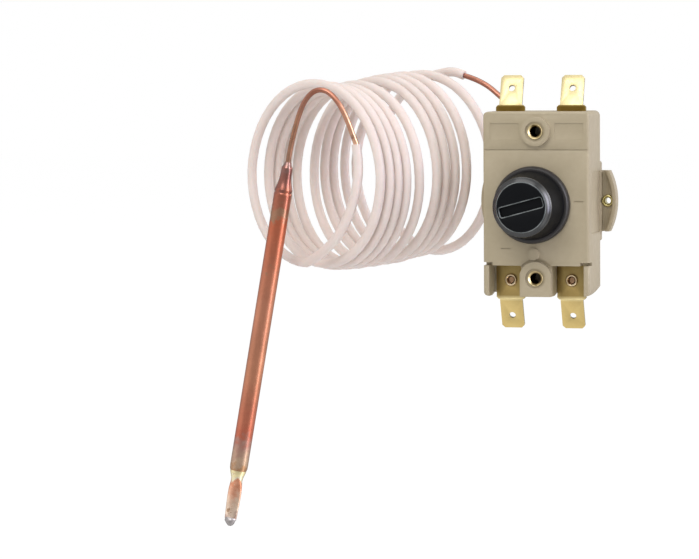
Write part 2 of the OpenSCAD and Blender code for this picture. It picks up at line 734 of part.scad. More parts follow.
function between(list, place) = let (i = floor(place), f = place - i) list[i] * (1 - f) + list[i + 1] * f;
function turn_point(t) = coil_start + between(half_turn_at, 2 * t + 1) * coil_axis
    + [0, 0, between(half_turn_lift, 2 * t + 0.5)]
    + coil_r * (-cos(360 * t) * coil_side + [0, 0, sin(360 * t)]);
function turn_points() = [for (i = [0:round((turns_to - turns_from) * steps_per_turn)]) turn_point(turns_from + i / steps_per_turn)];

module capillary_body_end() color([0.74, 0.43, 0.30])
    swept_rod(smooth(body_end_route, 3), capillary_d / 2, 8, [1, 0, 0]);

module capillary_coil() color([0.86, 0.80, 0.77]) {
    turns = turn_points();
    tail = smooth(concat(near_tail, [turns[0], turns[1]]), 3);
    lead = [for (i = [0:len(tail) - 5]) tail[i]];
    ending = smooth(concat([turns[len(turns) - 1]], far_tail), 3);
    path = concat(lead, turns, [for (i = [1:len(ending) - 1]) ending[i]]);
    swept_rod(path, sleeve_d / 2, 8, [0, 1, 0]);
}

module capillary_bulb_end() color([0.72, 0.41, 0.28])
    swept_rod(smooth(bulb_end_route, 3), capillary_d / 2, 8, [0, 1, 0]);

// Bulb, drawn downwards from its neck

module along_bulb() {
    translate(bulb_neck) rotate([0, bulb_tilt, 0]) mirror([0, 0, 1]) children();
}

module sensing_bulb() color([0.66, 0.36, 0.26]) along_bulb() {
    rotate_extrude() polygon([[0, 0], [capillary_d / 2 + 0.2, 0], [neck_r, neck_len - 0.4], [neck_r, neck_len],
        [bulb_d / 2 - 0.05, straight_top - 0.5], [bulb_d / 2 - 0.12, straight_top - 0.2], [bulb_d / 2, straight_top],
        [bulb_d / 2, straight_end], [crimp_r, tail_top - 1], [crimp_r, tail_top], [0, tail_top]]);
    translate([0, 0, tail_top]) intersection() {
        union() {
            cylinder(r1 = crimp_r, r2 = crimp_r + 0.25, h = 2.5);
            translate([0, 0, 2.5]) cylinder(r1 = crimp_r + 0.25, r2 = crimp_r, h = pinch_len - 2.5);
        }
        rotate([90, 0, 0]) linear_extrude(2 * bulb_d, center = true)
            translate([-bulb_d, 0]) square([2 * bulb_d, pinch_len]);
        rotate([90, 0, 90]) linear_extrude(2 * bulb_d, center = true)
            polygon([[-crimp_r, 0], [crimp_r, 0], [pinch_t / 2, 2.5], [pinch_t / 2, pinch_len],
                [-pinch_t / 2, pinch_len], [-pinch_t / 2, 2.5]]);
    }
}

module bulb_solder() color([0.62, 0.62, 0.62]) along_bulb()
    translate([0, 0, tail_top + pinch_len])
        rotate_extrude() polygon(concat([[0, 0]], [for (a = [0:15:90]) [1.3 * cos(a), 1.8 * sin(a)]]));

front_housing();
rear_cover();
fixing_insert_upper();
fixing_insert_lower();
cap_bush();
reset_cap();
reset_button();
reset_spring();
terminal_upper_left();
terminal_upper_right();
terminal_lower_left();
terminal_lower_right();
terminal_rivets();
ear_rivets();
fixed_contacts();
contact_carrier();
contact_bar_left();
contact_bar_right();
contact_springs();
trip_lever();
lever_pin();
calibration_screw();
thrust_pin();
diaphragm_capsule();
diaphragm_cup();
capillary_ferrule();
capillary_body_end();
capillary_coil();
capillary_bulb_end();
sensing_bulb();
bulb_solder();
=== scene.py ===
"""Looks of a capillary safety temperature limiter: moulded housing, screw cap, blades, coil and bulb.

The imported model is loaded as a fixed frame. Each sub-assembly below builds the pieces that stand
for its CAD nodes or gives the nodes their finish. Lengths are in metres, in the row's frame:
+X to the right, +Y to the back, +Z up, with the origin midway between the two fixing holes.
"""

import json
import logging
import math
from dataclasses import dataclass
from enum import Enum, IntEnum
from functools import cache, cached_property, partial
from typing import Iterable, Mapping, Sequence

import bmesh
import bpy
from mathutils import Matrix, Vector

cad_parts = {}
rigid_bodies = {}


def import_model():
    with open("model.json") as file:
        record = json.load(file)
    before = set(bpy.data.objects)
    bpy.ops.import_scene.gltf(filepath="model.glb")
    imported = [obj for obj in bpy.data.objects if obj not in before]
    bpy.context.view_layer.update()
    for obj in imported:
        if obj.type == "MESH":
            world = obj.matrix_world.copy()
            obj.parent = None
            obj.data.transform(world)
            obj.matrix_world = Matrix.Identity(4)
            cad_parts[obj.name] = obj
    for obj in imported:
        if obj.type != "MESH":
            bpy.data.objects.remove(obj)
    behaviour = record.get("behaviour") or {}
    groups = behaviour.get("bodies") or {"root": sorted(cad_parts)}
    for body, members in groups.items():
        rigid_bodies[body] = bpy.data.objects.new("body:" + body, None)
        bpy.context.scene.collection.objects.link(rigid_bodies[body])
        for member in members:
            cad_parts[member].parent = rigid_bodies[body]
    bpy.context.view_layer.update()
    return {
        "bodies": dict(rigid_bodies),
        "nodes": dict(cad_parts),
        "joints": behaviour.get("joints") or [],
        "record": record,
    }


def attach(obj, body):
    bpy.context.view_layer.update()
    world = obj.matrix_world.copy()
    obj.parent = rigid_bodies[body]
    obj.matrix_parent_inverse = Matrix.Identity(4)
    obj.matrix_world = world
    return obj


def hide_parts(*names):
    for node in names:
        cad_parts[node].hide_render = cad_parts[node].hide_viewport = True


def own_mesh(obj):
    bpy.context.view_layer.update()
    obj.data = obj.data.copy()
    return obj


LOG = logging.getLogger("limiter")
MM = 0.001
TURN = 2 * math.pi
Colour = tuple[float, float, float]
Point = tuple[float, float, float]
Pair = tuple[float, float]
Shape = bmesh.types.BMesh
Piece = bpy.types.Object
Material = bpy.types.Material
Node = bpy.types.Node
Tree = bpy.types.NodeTree
Socket = bpy.types.NodeSocket

# Corners nearer than this are one, and faces that meet at less than this angle are one plane
WELD = 0.002 * MM
FLAT = math.radians(0.4)
# Where most values lie of a noise, and of a sum of two noises
NOISE_RANGE = (0.3, 0.7)
SUM_RANGE = (0.35, 0.65)


class Relief(Enum):
    """Kinds of fine surface relief that a finish can have."""

    GRAIN = "grain"
    BRUSHED = "brushed"


class CapSlot(IntEnum):
    """The screw cap's material slots after the first, which is that of its flat face."""

    # The slot below is the light grey of the slot's lip and the face's rounded rim: a painted highlight along these
    # edges
    WORN = 1
    SHOULDER = 2
    SIDE = 3


# ---------------------------------------------------------------- node groups


@dataclass(frozen=True)
class NodeKit:
    """Small helpers that place and join shader nodes in one tree."""

    tree: Tree

    def feed(self, slot: Socket, value: object) -> None:
        """Gives an input its value.

        Args:
            slot: the input.
            value: a socket to join to it, a number, a vector or a colour of three values.
        """
        if isinstance(value, bpy.types.NodeSocket):
            self.tree.links.new(value, slot)
        else:
            slot.default_value = (*value, 1.0) if slot.type == "RGBA" else value

    def add(self, kind: str, inputs: Mapping[str | int, object] | None = None, **settings: object) -> Node:
        """Adds a node.

        Args:
            kind: the node's type name.
            inputs: what its inputs get, by name or number.
            settings: properties of the node, by name.

        Returns:
            The new node.
        """
        node = self.tree.nodes.new(kind)
        for name, value in settings.items():
            setattr(node, name, value)
        for name, value in (inputs or {}).items():
            self.feed(node.inputs[name], value)
        return node

    def noise(self, vector: Socket, scale: float | Socket, detail: float = 3.0, roughness: float = 0.55) -> Socket:
        """Adds a noise texture.

        Args:
            vector: where the noise is read.
            scale: its frequency.
            detail: number of octaves.
            roughness: strength of the finer octaves.

        Returns:
            The noise's value.
        """
        return self.add("ShaderNodeTexNoise", {"Vector": vector, "Scale": scale, "Detail": detail,
                                               "Roughness": roughness}).outputs["Fac"]

    def spread(self, value: Socket, low: float, high: float, to_low: float = 0.0, to_high: float = 1.0) -> Socket:
        """Maps a range of values onto another, with its ends held.

        Args:
            value: what is mapped.
            low: value that gives to_low.
            high: value that gives to_high.
            to_low: result at the low end.
            to_high: result at the high end.

        Returns:
            The mapped value.
        """
        return self.add("ShaderNodeMapRange", {"Value": value, "From Min": low, "From Max": high, "To Min": to_low,
                                               "To Max": to_high}, clamp=True).outputs["Result"]

    def maths(self, operation: str, first: Socket | float, second: Socket | float = 0.0) -> Socket:
        """Adds a node of arithmetic and returns its result."""
        return self.add("ShaderNodeMath", {0: first, 1: second}, operation=operation).outputs[0]

    def vector(self, operation: str, first: Socket, second: Vector | Point = (0.0, 0.0, 0.0)) -> Node:
        """Adds a node of arithmetic on vectors and returns it."""
        return self.add("ShaderNodeVectorMath", {0: first, 1: second}, operation=operation)

    def blend(self, factor: Socket | float, first: Socket | Colour, second: Socket | Colour,
              mode: str = "MIX") -> Socket:
        """Blends two colours.

        Args:
            factor: share of the second colour.
            first: the colour below.
            second: the colour above.
            mode: the way of blending.

        Returns:
            The blended colour.
        """
        node = self.add("ShaderNodeMix", {0: factor}, data_type="RGBA", blend_type=mode)
        for slot, value in zip([slot for slot in node.inputs if slot.type == "RGBA"], (first, second)):
            self.feed(slot, value)
        return next(slot for slot in node.outputs if slot.type == "RGBA")

    def mixed(self, factor: Socket, first: Node, second: Node) -> Socket:
        """Mixes two shaders by a factor and returns the result."""
        return self.add("ShaderNodeMixShader", {0: factor, 1: first.outputs[0], 2: second.outputs[0]}).outputs[0]


def fresh_kit(owner: Material | bpy.types.World) -> NodeKit:
    """Empties a node tree.

    Args:
        owner: the material or world that has the tree.

    Returns:
        The helper for the tree.
    """
    owner.use_nodes = True
    owner.node_tree.nodes.clear()
    return NodeKit(owner.node_tree)


class SharedGroups:
    """Shader node groups that several finishes use, each built once."""

    def __init__(self) -> None:
        """Builds the groups."""
        self.mottle = self._mottle()
        self.relief = {Relief.GRAIN: self._grain(), Relief.BRUSHED: self._brushed()}
        self.patches = self._patches()

    @staticmethod
    def _open(name: str, inputs: Mapping[str, str],
              outputs: Mapping[str, str]) -> tuple[NodeKit, Mapping[str, Socket], Mapping[str, Socket]]:
        """Starts a group, which also has an input for the place.

        Args:
            name: the group's name.
            inputs: kind of each other input, by name.
            outputs: kind of each output, by name.
        """
        tree = bpy.data.node_groups.new(name, "ShaderNodeTree")
        for way, sockets in (("INPUT", {"Vector": "Vector", **inputs}), ("OUTPUT", outputs)):
            for label, kind in sockets.items():
                tree.interface.new_socket(name=label, in_out=way, socket_type=f"NodeSocket{kind}")
        kit = NodeKit(tree)
        return kit, kit.add("NodeGroupInput").outputs, kit.add("NodeGroupOutput").inputs

    def _mottle(self) -> Tree:
        """Builds slow changes between two tones, with a finer speckle over them.

        Returns:
            The group.
        """
        kit, given, out = self._open("tone_mottle", {"Scale": "Float", "Light tone": "Color", "Dark tone": "Color"},
                                     {"Color": "Color"})
        finer, slow_share = 14.0, 0.75
        slow = kit.noise(given["Vector"], given["Scale"], 4.0)
        fine = kit.noise(given["Vector"], kit.maths("MULTIPLY", given["Scale"], finer), 2.0)
        both = kit.maths("ADD", kit.maths("MULTIPLY", slow, slow_share), kit.maths("MULTIPLY", fine, 1 - slow_share))
        kit.feed(out["Color"], kit.blend(kit.spread(both, *SUM_RANGE), given["Light tone"], given["Dark tone"]))
        return kit.tree

    def _grain(self) -> Tree:
        """Builds the fine even relief of a moulded or cast surface.

        Returns:
            The group.
        """
        kit, given, out = self._open("fine_grain", {"Scale": "Float"}, {"Height": "Float", "Gloss change": "Float"})
        coarser = 0.06
        kit.feed(out["Height"], kit.noise(given["Vector"], given["Scale"], 2.0))
        wide = kit.noise(given["Vector"], kit.maths("MULTIPLY", given["Scale"], coarser))
        kit.feed(out["Gloss change"], kit.spread(wide, *NOISE_RANGE))
        return kit.tree

    def _brushed(self) -> Tree:
        """Builds fine lines along Z, as rolling or drawing leaves on sheet and wire.

        Returns:
            The group.
        """
        kit, given, out = self._open("rolled_lines", {"Scale": "Float"}, {"Height": "Float", "Gloss change": "Float"})
        stretch, coarser = (1.0, 1.0, 0.04), 0.08
        lines = kit.noise(kit.vector("MULTIPLY", given["Vector"], stretch).outputs[0], given["Scale"], 2.0, 0.7)
        wide = kit.noise(given["Vector"], kit.maths("MULTIPLY", given["Scale"], coarser))
        both = kit.maths("ADD", kit.maths("MULTIPLY", lines, 0.5), kit.maths("MULTIPLY", wide, 0.5))
        kit.feed(out["Height"], lines)
        kit.feed(out["Gloss change"], kit.spread(both, *SUM_RANGE))
        return kit.tree

    def _patches(self) -> Tree:
        """Builds patches with ragged edges, as tarnish and stains have.

        Returns:
            The group.
        """
        kit, given, out = self._open("tarnish_patches", {"Scale": "Float", "Threshold": "Float"}, {"Mask": "Float"})
        warp_scale, warp_by = 900.0, (0.003, 0.003, 0.003)
        warp = kit.add("ShaderNodeTexNoise", {"Vector": given["Vector"], "Scale": warp_scale})
        place = kit.add("ShaderNodeVectorMath", {0: warp.outputs["Color"], 1: warp_by, 2: given["Vector"]},
                        operation="MULTIPLY_ADD")
        value, border = kit.noise(place.outputs[0], given["Scale"], 5.0, 0.65), (-0.03, 0.05)
        kit.feed(out["Mask"], kit.spread(kit.maths("SUBTRACT", value, given["Threshold"]), *border))
        return kit.tree


@cache
def shared_groups() -> SharedGroups:
    """Returns the shared node groups, built at the first call."""
    return SharedGroups()


# -------------------------------------------------------------------- finishes


@dataclass(frozen=True)
class Finish:
    """How one surface looks: its tones, its gloss, its relief and its stains."""

    name: str
    light: Colour
    dark: Colour
    roughness: tuple[float, float]
    metallic: float = 0.0
    tone_scale: float = 70.0
    relief: Relief = Relief.GRAIN
    relief_scale: float = 2500.0
    relief_depth: float = 0.01 * MM
    relief_strength: float = 0.25
    specular: float = 0.5
    stain: Colour | None = None
    stain_scale: float = 150.0
    stain_threshold: float = 0.62
    translucent: float = 0.0
    along: tuple[tuple[float, Colour], ...] = ()
    along_from: Point = (0.0, 0.0, 0.0)
    along_to: Point = (0.0, 0.0, 1.0)
    ripple: float = 0.02

    @cached_property
    def material(self) -> Material:
        """Makes the material at its first use.

        Returns:
            The material, ready for a piece's slot.
        """
        material = bpy.data.materials.new(self.name)
        kit = fresh_kit(material)
        place = kit.add("ShaderNodeTexCoord").outputs["Object"]
        relief = kit.add("ShaderNodeGroup", {"Vector": place, "Scale": self.relief_scale},
                         node_tree=shared_groups().relief[self.relief]).outputs
        bump = kit.add("ShaderNodeBump", {"Strength": self.relief_strength, "Distance": self.relief_depth,
                                          "Height": relief["Height"]})
        shader = kit.add("ShaderNodeBsdfPrincipled", {
            "Base Color": self._tones(kit, place), "Metallic": self.metallic, "Specular IOR Level": self.specular,
            "Roughness": kit.spread(relief["Gloss change"], 0.0, 1.0, *self.roughness),
            "Normal": bump.outputs["Normal"], "Subsurface Weight": self.translucent,
            "Subsurface Radius": (1.0, 0.6, 0.45), "Subsurface Scale": 0.6 * MM})
        kit.add("ShaderNodeOutputMaterial", {"Surface": shader.outputs[0]})
        return material

    def _tones(self, kit: NodeKit, place: Socket) -> Socket:
        """Adds the tones, with the colours along the piece and the stains where it has them.

        Args:
            kit: the material's node helper.
            place: object coordinates.

        Returns:
            The colour.
        """
        colour = kit.add("ShaderNodeGroup", {
            "Vector": place, "Scale": self.tone_scale, "Light tone": self.light, "Dark tone": self.dark},
            node_tree=shared_groups().mottle).outputs["Color"]
        if self.along:
            colour = kit.blend(1.0, colour, self._ramp(kit, place), "MULTIPLY")
        if self.stain:
            mask = kit.add("ShaderNodeGroup", {
                "Vector": place, "Scale": self.stain_scale, "Threshold": self.stain_threshold},
                node_tree=shared_groups().patches).outputs["Mask"]
            colour = kit.blend(mask, colour, self.stain)
        return colour

    def _ramp(self, kit: NodeKit, place: Socket) -> Socket:
        """Adds the colours along the piece, with their borders a little wavy.

        Args:
            kit: the material's node helper.
            place: object coordinates.

        Returns:
            The colour.
        """
        start = Vector(self.along_from)
        span = Vector(self.along_to) - start
        offset = kit.vector("SUBTRACT", place, start)
        share = kit.vector("DOT_PRODUCT", offset.outputs[0], span / span.length_squared).outputs["Value"]
        ripple_scale = 500.0
        ripple = kit.spread(kit.noise(place, ripple_scale, 4.0), *NOISE_RANGE, -self.ripple, self.ripple)
        ramp = kit.add("ShaderNodeValToRGB", {"Fac": kit.maths("ADD", share, ripple)})
        stops = ramp.color_ramp.elements
        while len(stops) < len(self.along):
            stops.new(0.5)
        for stop, (where, tone) in zip(stops, self.along):
            stop.position = where
            stop.color = (*tone, 1.0)
        return ramp.outputs["Color"]


# --------------------------------------------------------------- shape helpers


def linked(name: str, data: bpy.types.ID) -> Piece:
    """Makes an object and links it to the scene.

    Args:
        name: the object's name.
        data: its mesh, curve, light or camera.

    Returns:
        The object.
    """
    item = bpy.data.objects.new(name, data)
    bpy.context.scene.collection.objects.link(item)
    return item


def meshed(name: str, bm: Shape) -> bpy.types.Mesh:
    """Makes a mesh of a bmesh.

    Args:
        name: the mesh's name.
        bm: its shape, which is freed.

    Returns:
        The mesh.
    """
    mesh = bpy.data.meshes.new(name)
    bm.to_mesh(mesh)
    bm.free()
    return mesh


def wound(bm: Shape, face: bmesh.types.BMFace, axis: Point, turns: int, steps: int, rise: float) -> None:
    """Winds a face about an axis along Y.

    Args:
        bm: the mesh.
        face: the wire's section.
        axis: a point of the axis.
        turns: number of turns.
        steps: pieces of each turn.
        rise: how far each turn goes along the axis.
    """
    bmesh.ops.spin(bm, geom=[face], cent=axis, axis=(0, 1, 0), angle=TURN * turns, steps=steps * turns,
                   dvec=(0, rise / steps, 0), use_merge=False)
    outward(bm)


def finished(name: str, bm: Shape, finish: Finish, node: str, crease: float = 32.0,
             body: str = "housing") -> Piece:
    """Turns a bmesh into a piece that rides on a body.

    Args:
        name: the piece's name.
        bm: its shape, which is freed.
        finish: its finish.
        node: the CAD node it stands for, or "".
        crease: angle in degrees past which an edge stays sharp.
        body: the CAD body it rides on.

    Returns:
        The piece's object.
    """
    mesh = meshed(name, bm)
    mesh.polygons.foreach_set("use_smooth", [True] * len(mesh.polygons))
    mesh.set_sharp_from_angle(angle=math.radians(crease))
    mesh.materials.append(finish.material)
    piece = linked(name, mesh)
    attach(piece, body)
    if node:
        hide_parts(node)
    LOG.info("%s: %d faces on %s", name, len(mesh.polygons), body)
    return piece


def outward(bm: Shape) -> None:
    """Merges doubles and turns all faces outwards."""
    bmesh.ops.remove_doubles(bm, verts=bm.verts, dist=WELD / 2)
    bmesh.ops.recalc_face_normals(bm, faces=bm.faces)


def turned(bm: Shape, profile: Iterable[Pair], x: float = 0.0, z: float = 0.0, steps: int = 40,
           closed: bool = True) -> None:
    """Spins a profile about an axis along Y.

    Args:
        bm: the mesh that the shape goes into.
        profile: points of radius and depth.
        x: the axis's place to the right.
        z: the axis's height.
        steps: sides of the round.
        closed: whether the profile's last point joins its first.
    """
    points = [bm.verts.new((x + radius, depth, z)) for radius, depth in profile]
    pairs = list(zip(points, points[1:]))
    if closed:
        pairs.append((points[-1], points[0]))
    edges = [bm.edges.new(pair) for pair in pairs if pair[0] is not pair[1]]
    bmesh.ops.spin(bm, geom=points + edges, cent=(x, 0, z), axis=(0, 1, 0), angle=TURN, steps=steps,
                   use_merge=True)


def rounded(points: Sequence[Pair], radius: float) -> list[Pair]:
    """Rounds the inner corners of an open line.

    Args:
        points: the line's corners.
        radius: how far from each corner the rounding starts.

    Returns:
        The points of the rounded line.
    """
    steps, most = 3, 0.45
    line = [points[0]]
    for before, corner, after in zip(points, points[1:], points[2:]):
        a, b, c = Vector(before), Vector(corner), Vector(after)
        reach = min(radius, (a - b).length * most, (c - b).length * most)
        start = b + (a - b).normalized() * reach
        end = b + (c - b).normalized() * reach
        for step in range(steps + 1):
            t = step / steps
            line.append(tuple(start * (1 - t) ** 2 + b * 2 * t * (1 - t) + end * t * t))
    line.append(points[-1])
    return line


def flattened(bm: Shape) -> None:
    """Merges doubles and joins the faces that lie in one plane."""
    bmesh.ops.remove_doubles(bm, verts=bm.verts, dist=WELD)
    bmesh.ops.dissolve_limit(bm, angle_limit=FLAT, verts=bm.verts, edges=bm.edges)


def bevelled(bm: Shape, edges: list[bmesh.types.BMEdge], width: float, segments: int, clamp: bool = False,
             slot: int = -1) -> None:
    """Rounds edges.

    Args:
        bm: the mesh.
        edges: the edges to round.
        width: how far from each edge the rounding starts.
        segments: faces across each rounding.
        clamp: whether roundings stop where they would meet.
        slot: the new faces' material slot, or -1 for that of their neighbours.
    """
    bmesh.ops.bevel(bm, geom=edges, offset=width, offset_type="OFFSET", affect="EDGES", segments=segments,
                    profile=0.5, clamp_overlap=clamp, material=slot)


def split_large(bm: Shape) -> None:
    """Splits faces of more than four corners into triangles."""
    bmesh.ops.triangulate(bm, faces=[f for f in bm.faces if len(f.verts) > 4])


def softened(node: Piece, width: float, segments: int = 2) -> Shape:
    """Copies a CAD node's mesh and rounds its edges a little.

    Args:
        node: the CAD node's object.
        width: how far from each edge the rounding starts.
        segments: faces across each rounding.

    Returns:
        The rounded copy.
    """
    sharp_from, shortest = math.radians(35.0), 0.02 * MM
    bm = bmesh.new()
    bm.from_mesh(node.data)
    flattened(bm)
    sharp = [e for e in bm.edges if len(e.link_faces) == 2 and e.calc_face_angle(0) > sharp_from
             and e.calc_length() > shortest]
    bevelled(bm, sharp, width, segments, clamp=True)
    split_large(bm)
    return bm


@dataclass
class SubAssembly:
    """What every sub-assembly that takes CAD nodes has: the frame with the nodes."""

    frame: dict

    def soft(self, node: str, name: str, finish: Finish, slot: str, width: float, body: str = "housing",
             segments: int = 2) -> Piece:
        """Makes a piece of one CAD node with rounded edges, as softened() and finished() say."""
        return finished(name, softened(self.frame["nodes"][node], width, segments), finish, node, body=body)


def smooth_path(points: Sequence[Vector], steps: int) -> list[Vector]:
    """Runs a smooth curve through points.

    Args:
        points: the points that the curve passes.
        steps: pieces of each stretch.

    Returns:
        The points along the curve.
    """
    line = []
    last = len(points) - 1
    for i in range(last):
        a, b, c, d = points[max(i - 1, 0)], points[i], points[i + 1], points[min(i + 2, last)]
        for step in range(steps):
            t = step / steps
            line.append(0.5 * (2 * b + (c - a) * t + (2 * a - 5 * b + 4 * c - d) * t * t
                               + (3 * b - 3 * c + d - a) * t ** 3))
    return line + [points[last]]


def path_length(points: Sequence[Vector]) -> float:
    """Returns the length of a line through points."""
    return sum((b - a).length for a, b in zip(points, points[1:]))


def rod(name: str, points: Sequence[Vector], diameter: float, finish: Finish, sides: int = 4) -> Piece:
    """Makes a round rod that follows a line and rides on the housing, as a curve of one open spline.

    Args:
        name: the piece's name.
        points: the line.
        diameter: the rod's diameter.
        finish: its finish.
        sides: resolution of the round.

    Returns:
        The curve's object.
    """
    curve = bpy.data.curves.new(name, "CURVE")
    curve.dimensions = "3D"
    curve.bevel_depth = diameter / 2
    curve.bevel_resolution = sides
    curve.use_fill_caps = True
    spline = curve.splines.new("POLY")
    spline.points.add(len(points) - 1)
    for target, point in zip(spline.points, points):
        target.co = (*point, 1.0)
    curve.materials.append(finish.material)
    piece = linked(name, curve)
    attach(piece, "housing")
    LOG.info("%s: %.3f m long", name, path_length(points))
    return piece


def between(values: Sequence[float], place: float) -> float:
    """Reads a list of values at a place that need not be whole.

    Args:
        values: the list.
        place: the place, counted from the first value.

    Returns:
        The value between the two nearest ones.
    """
    whole = math.floor(place)
    part = place - whole
    return values[whole] * (1 - part) + values[whole + 1] * part


def vectors(points: Iterable[Point]) -> list[Vector]:
    """Turns points in millimetres into vectors in metres."""
    return [Vector(point) * MM for point in points]


# ------------------------------------------------------------------- capillary


@dataclass
class Capillary:
    """The copper capillary with its sleeve, wound in a coil between the housing and the bulb."""

    copper: Finish
    sleeve: Finish
    copper_d: float = 1.5 * MM
    sleeve_d: float = 2.65 * MM
    coil_r: float = 25.3 * MM
    coil_turned: float = 35.0
    coil_rise: float = 0.017
    turns_from: float = -0.25
    turns_to: float = 10.2
    steps: int = 48
    half_turn_at: tuple[float, ...] = (
        -2.6, -0.4, 4.1, 5.6, 7.4, 8.8, 10.4, 12.3, 13.5, 15.9, 18.1, 22.3, 24.6, 26.1, 27.8, 29.4, 31.3, 33.6,
        35.5, 37.9, 44.9, 46.8, 50.5)
    half_turn_lift: tuple[float, ...] = (
        0, -1.2, -0.6, -2, -1.3, -2.6, -1.4, -2.6, -1.4, -2, -1.2, -1.2, -0.9, -0.6, -0.7, -0.3, 0, 0, 0.5, 0.2,
        0.6, 0, 0)
    coil_start: Point = (-64, 2, 9)
    bulb_tilt: float = 10.0
    in_bulb: float = 60.0
    smoothing: int = 8
    body_end: tuple[Point, ...] = (
        (0, 28.4, 0), (0, 30, 0.2), (0, 31.8, 2), (-0.6, 32.4, 6), (-2.4, 32.4, 11.5), (-5.4, 32.2, 17),
        (-9, 32, 21.6), (-13.2, 31.8, 25.8), (-17, 32, 29.2), (-20.4, 32.9, 31.8), (-24, 34, 33.6),
        (-27.9, 35.3, 34.9))
    bulb_end: tuple[Point, ...] = (
        (-47.6, -9.5, 16.8), (-48.6, -9.5, 19.4), (-50.4, -9.5, 24), (-52.6, -9.3, 28), (-55.2, -9, 30.7),
        (-57.8, -8.7, 31.6), (-60.3, -8.5, 30.8), (-62.6, -8.2, 28.2), (-64.3, -8, 24.4), (-65.6, -8, 20),
        (-66.7, -8, 15.6), (-67.4, -8, 11.7))
    near_tail: tuple[Point, ...] = (
        (-47.1, -9.5, 10), (-48.3, -8.7, 2.9), (-51.5, -6.8, -4.6), (-56.2, -4.2, -10.7))
    far_tail: tuple[Point, ...] = ((-32.2, 36.8, 35.9),)

    def turn_point(self, turn: float) -> Vector:
        """Gives a point of the coil.

        Args:
            turn: how many turns from the coil's start.

        Returns:
            The point.
        """
        along = between(self.half_turn_at, 2 * turn + 1)
        lift = Vector((0, 0, between(self.half_turn_lift, 2 * turn + 0.5)))
        lean = math.radians(self.coil_turned)
        axis = Vector((math.sin(lean), math.cos(lean), self.coil_rise))
        side = Vector((math.cos(lean), -math.sin(lean), 0))
        round_it = -math.cos(TURN * turn) * side + Vector((0, 0, math.sin(TURN * turn)))
        return (Vector(self.coil_start) + axis * along + lift) * MM + round_it * self.coil_r

    def sleeved(self) -> list[Vector]:
        """Gives the line of the sleeve.

        Returns:
            The points, from its end near the bulb to its end behind the housing.
        """
        count = round((self.turns_to - self.turns_from) * self.steps)
        turns = [self.turn_point(self.turns_from + i / self.steps) for i in range(count + 1)]
        ahead = turns[self.steps // 20]
        lead = smooth_path(vectors((self.bulb_end[0], *self.near_tail)) + [turns[0], ahead], self.smoothing)
        ending = smooth_path([turns[-1]] + vectors((*self.far_tail, self.body_end[-1])), self.smoothing)
        return lead[:-self.smoothing - 1] + turns + ending[1:]

    def whole(self) -> list[Vector]:
        """Gives the line of the whole copper tube.

        Returns:
            The points, from the housing to the bulb and on inside it.
        """
        steps, step_in = 6, 4
        behind = smooth_path(vectors(self.body_end), steps)
        loop = smooth_path(vectors(self.bulb_end), steps)
        lean = math.radians(self.bulb_tilt)
        down = Vector((-math.sin(lean), 0, -math.cos(lean))) * MM
        inside = [loop[-1] + down * step for step in range(step_in, int(self.in_bulb) + 1, step_in)]
        return behind + list(reversed(self.sleeved()))[1:-1] + loop + inside

    def build(self, parts: list[Piece]) -> None:
        """Builds the copper tube and its sleeve.

        Args:
            parts: the pieces on the tube's far end; not used.
        """
        line = self.whole()
        tube = rod("capillary_tube", line, self.copper_d, self.copper)
        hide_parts("capillary_body_end", "capillary_bulb_end")
        line = self.sleeved()
        cover = rod("capillary_sleeve", line, self.sleeve_d, self.sleeve, 5)
        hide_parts("capillary_coil")


# ------------------------------------------------------------------------ bulb


@dataclass(frozen=True)
class Station:
    """One cross-section of the bulb: how far down it is, how wide and how thick."""

    down: float
    wide: float
    thick: float
    aside: float = 0.0


def stations(*rows: tuple[float, ...]) -> tuple[Station, ...]:
    """Makes the bulb's sections from rows of down, wide, thick and aside; a row of two is round."""
    return tuple(Station(*row) if len(row) > 2 else Station(*row, row[-1]) for row in rows)


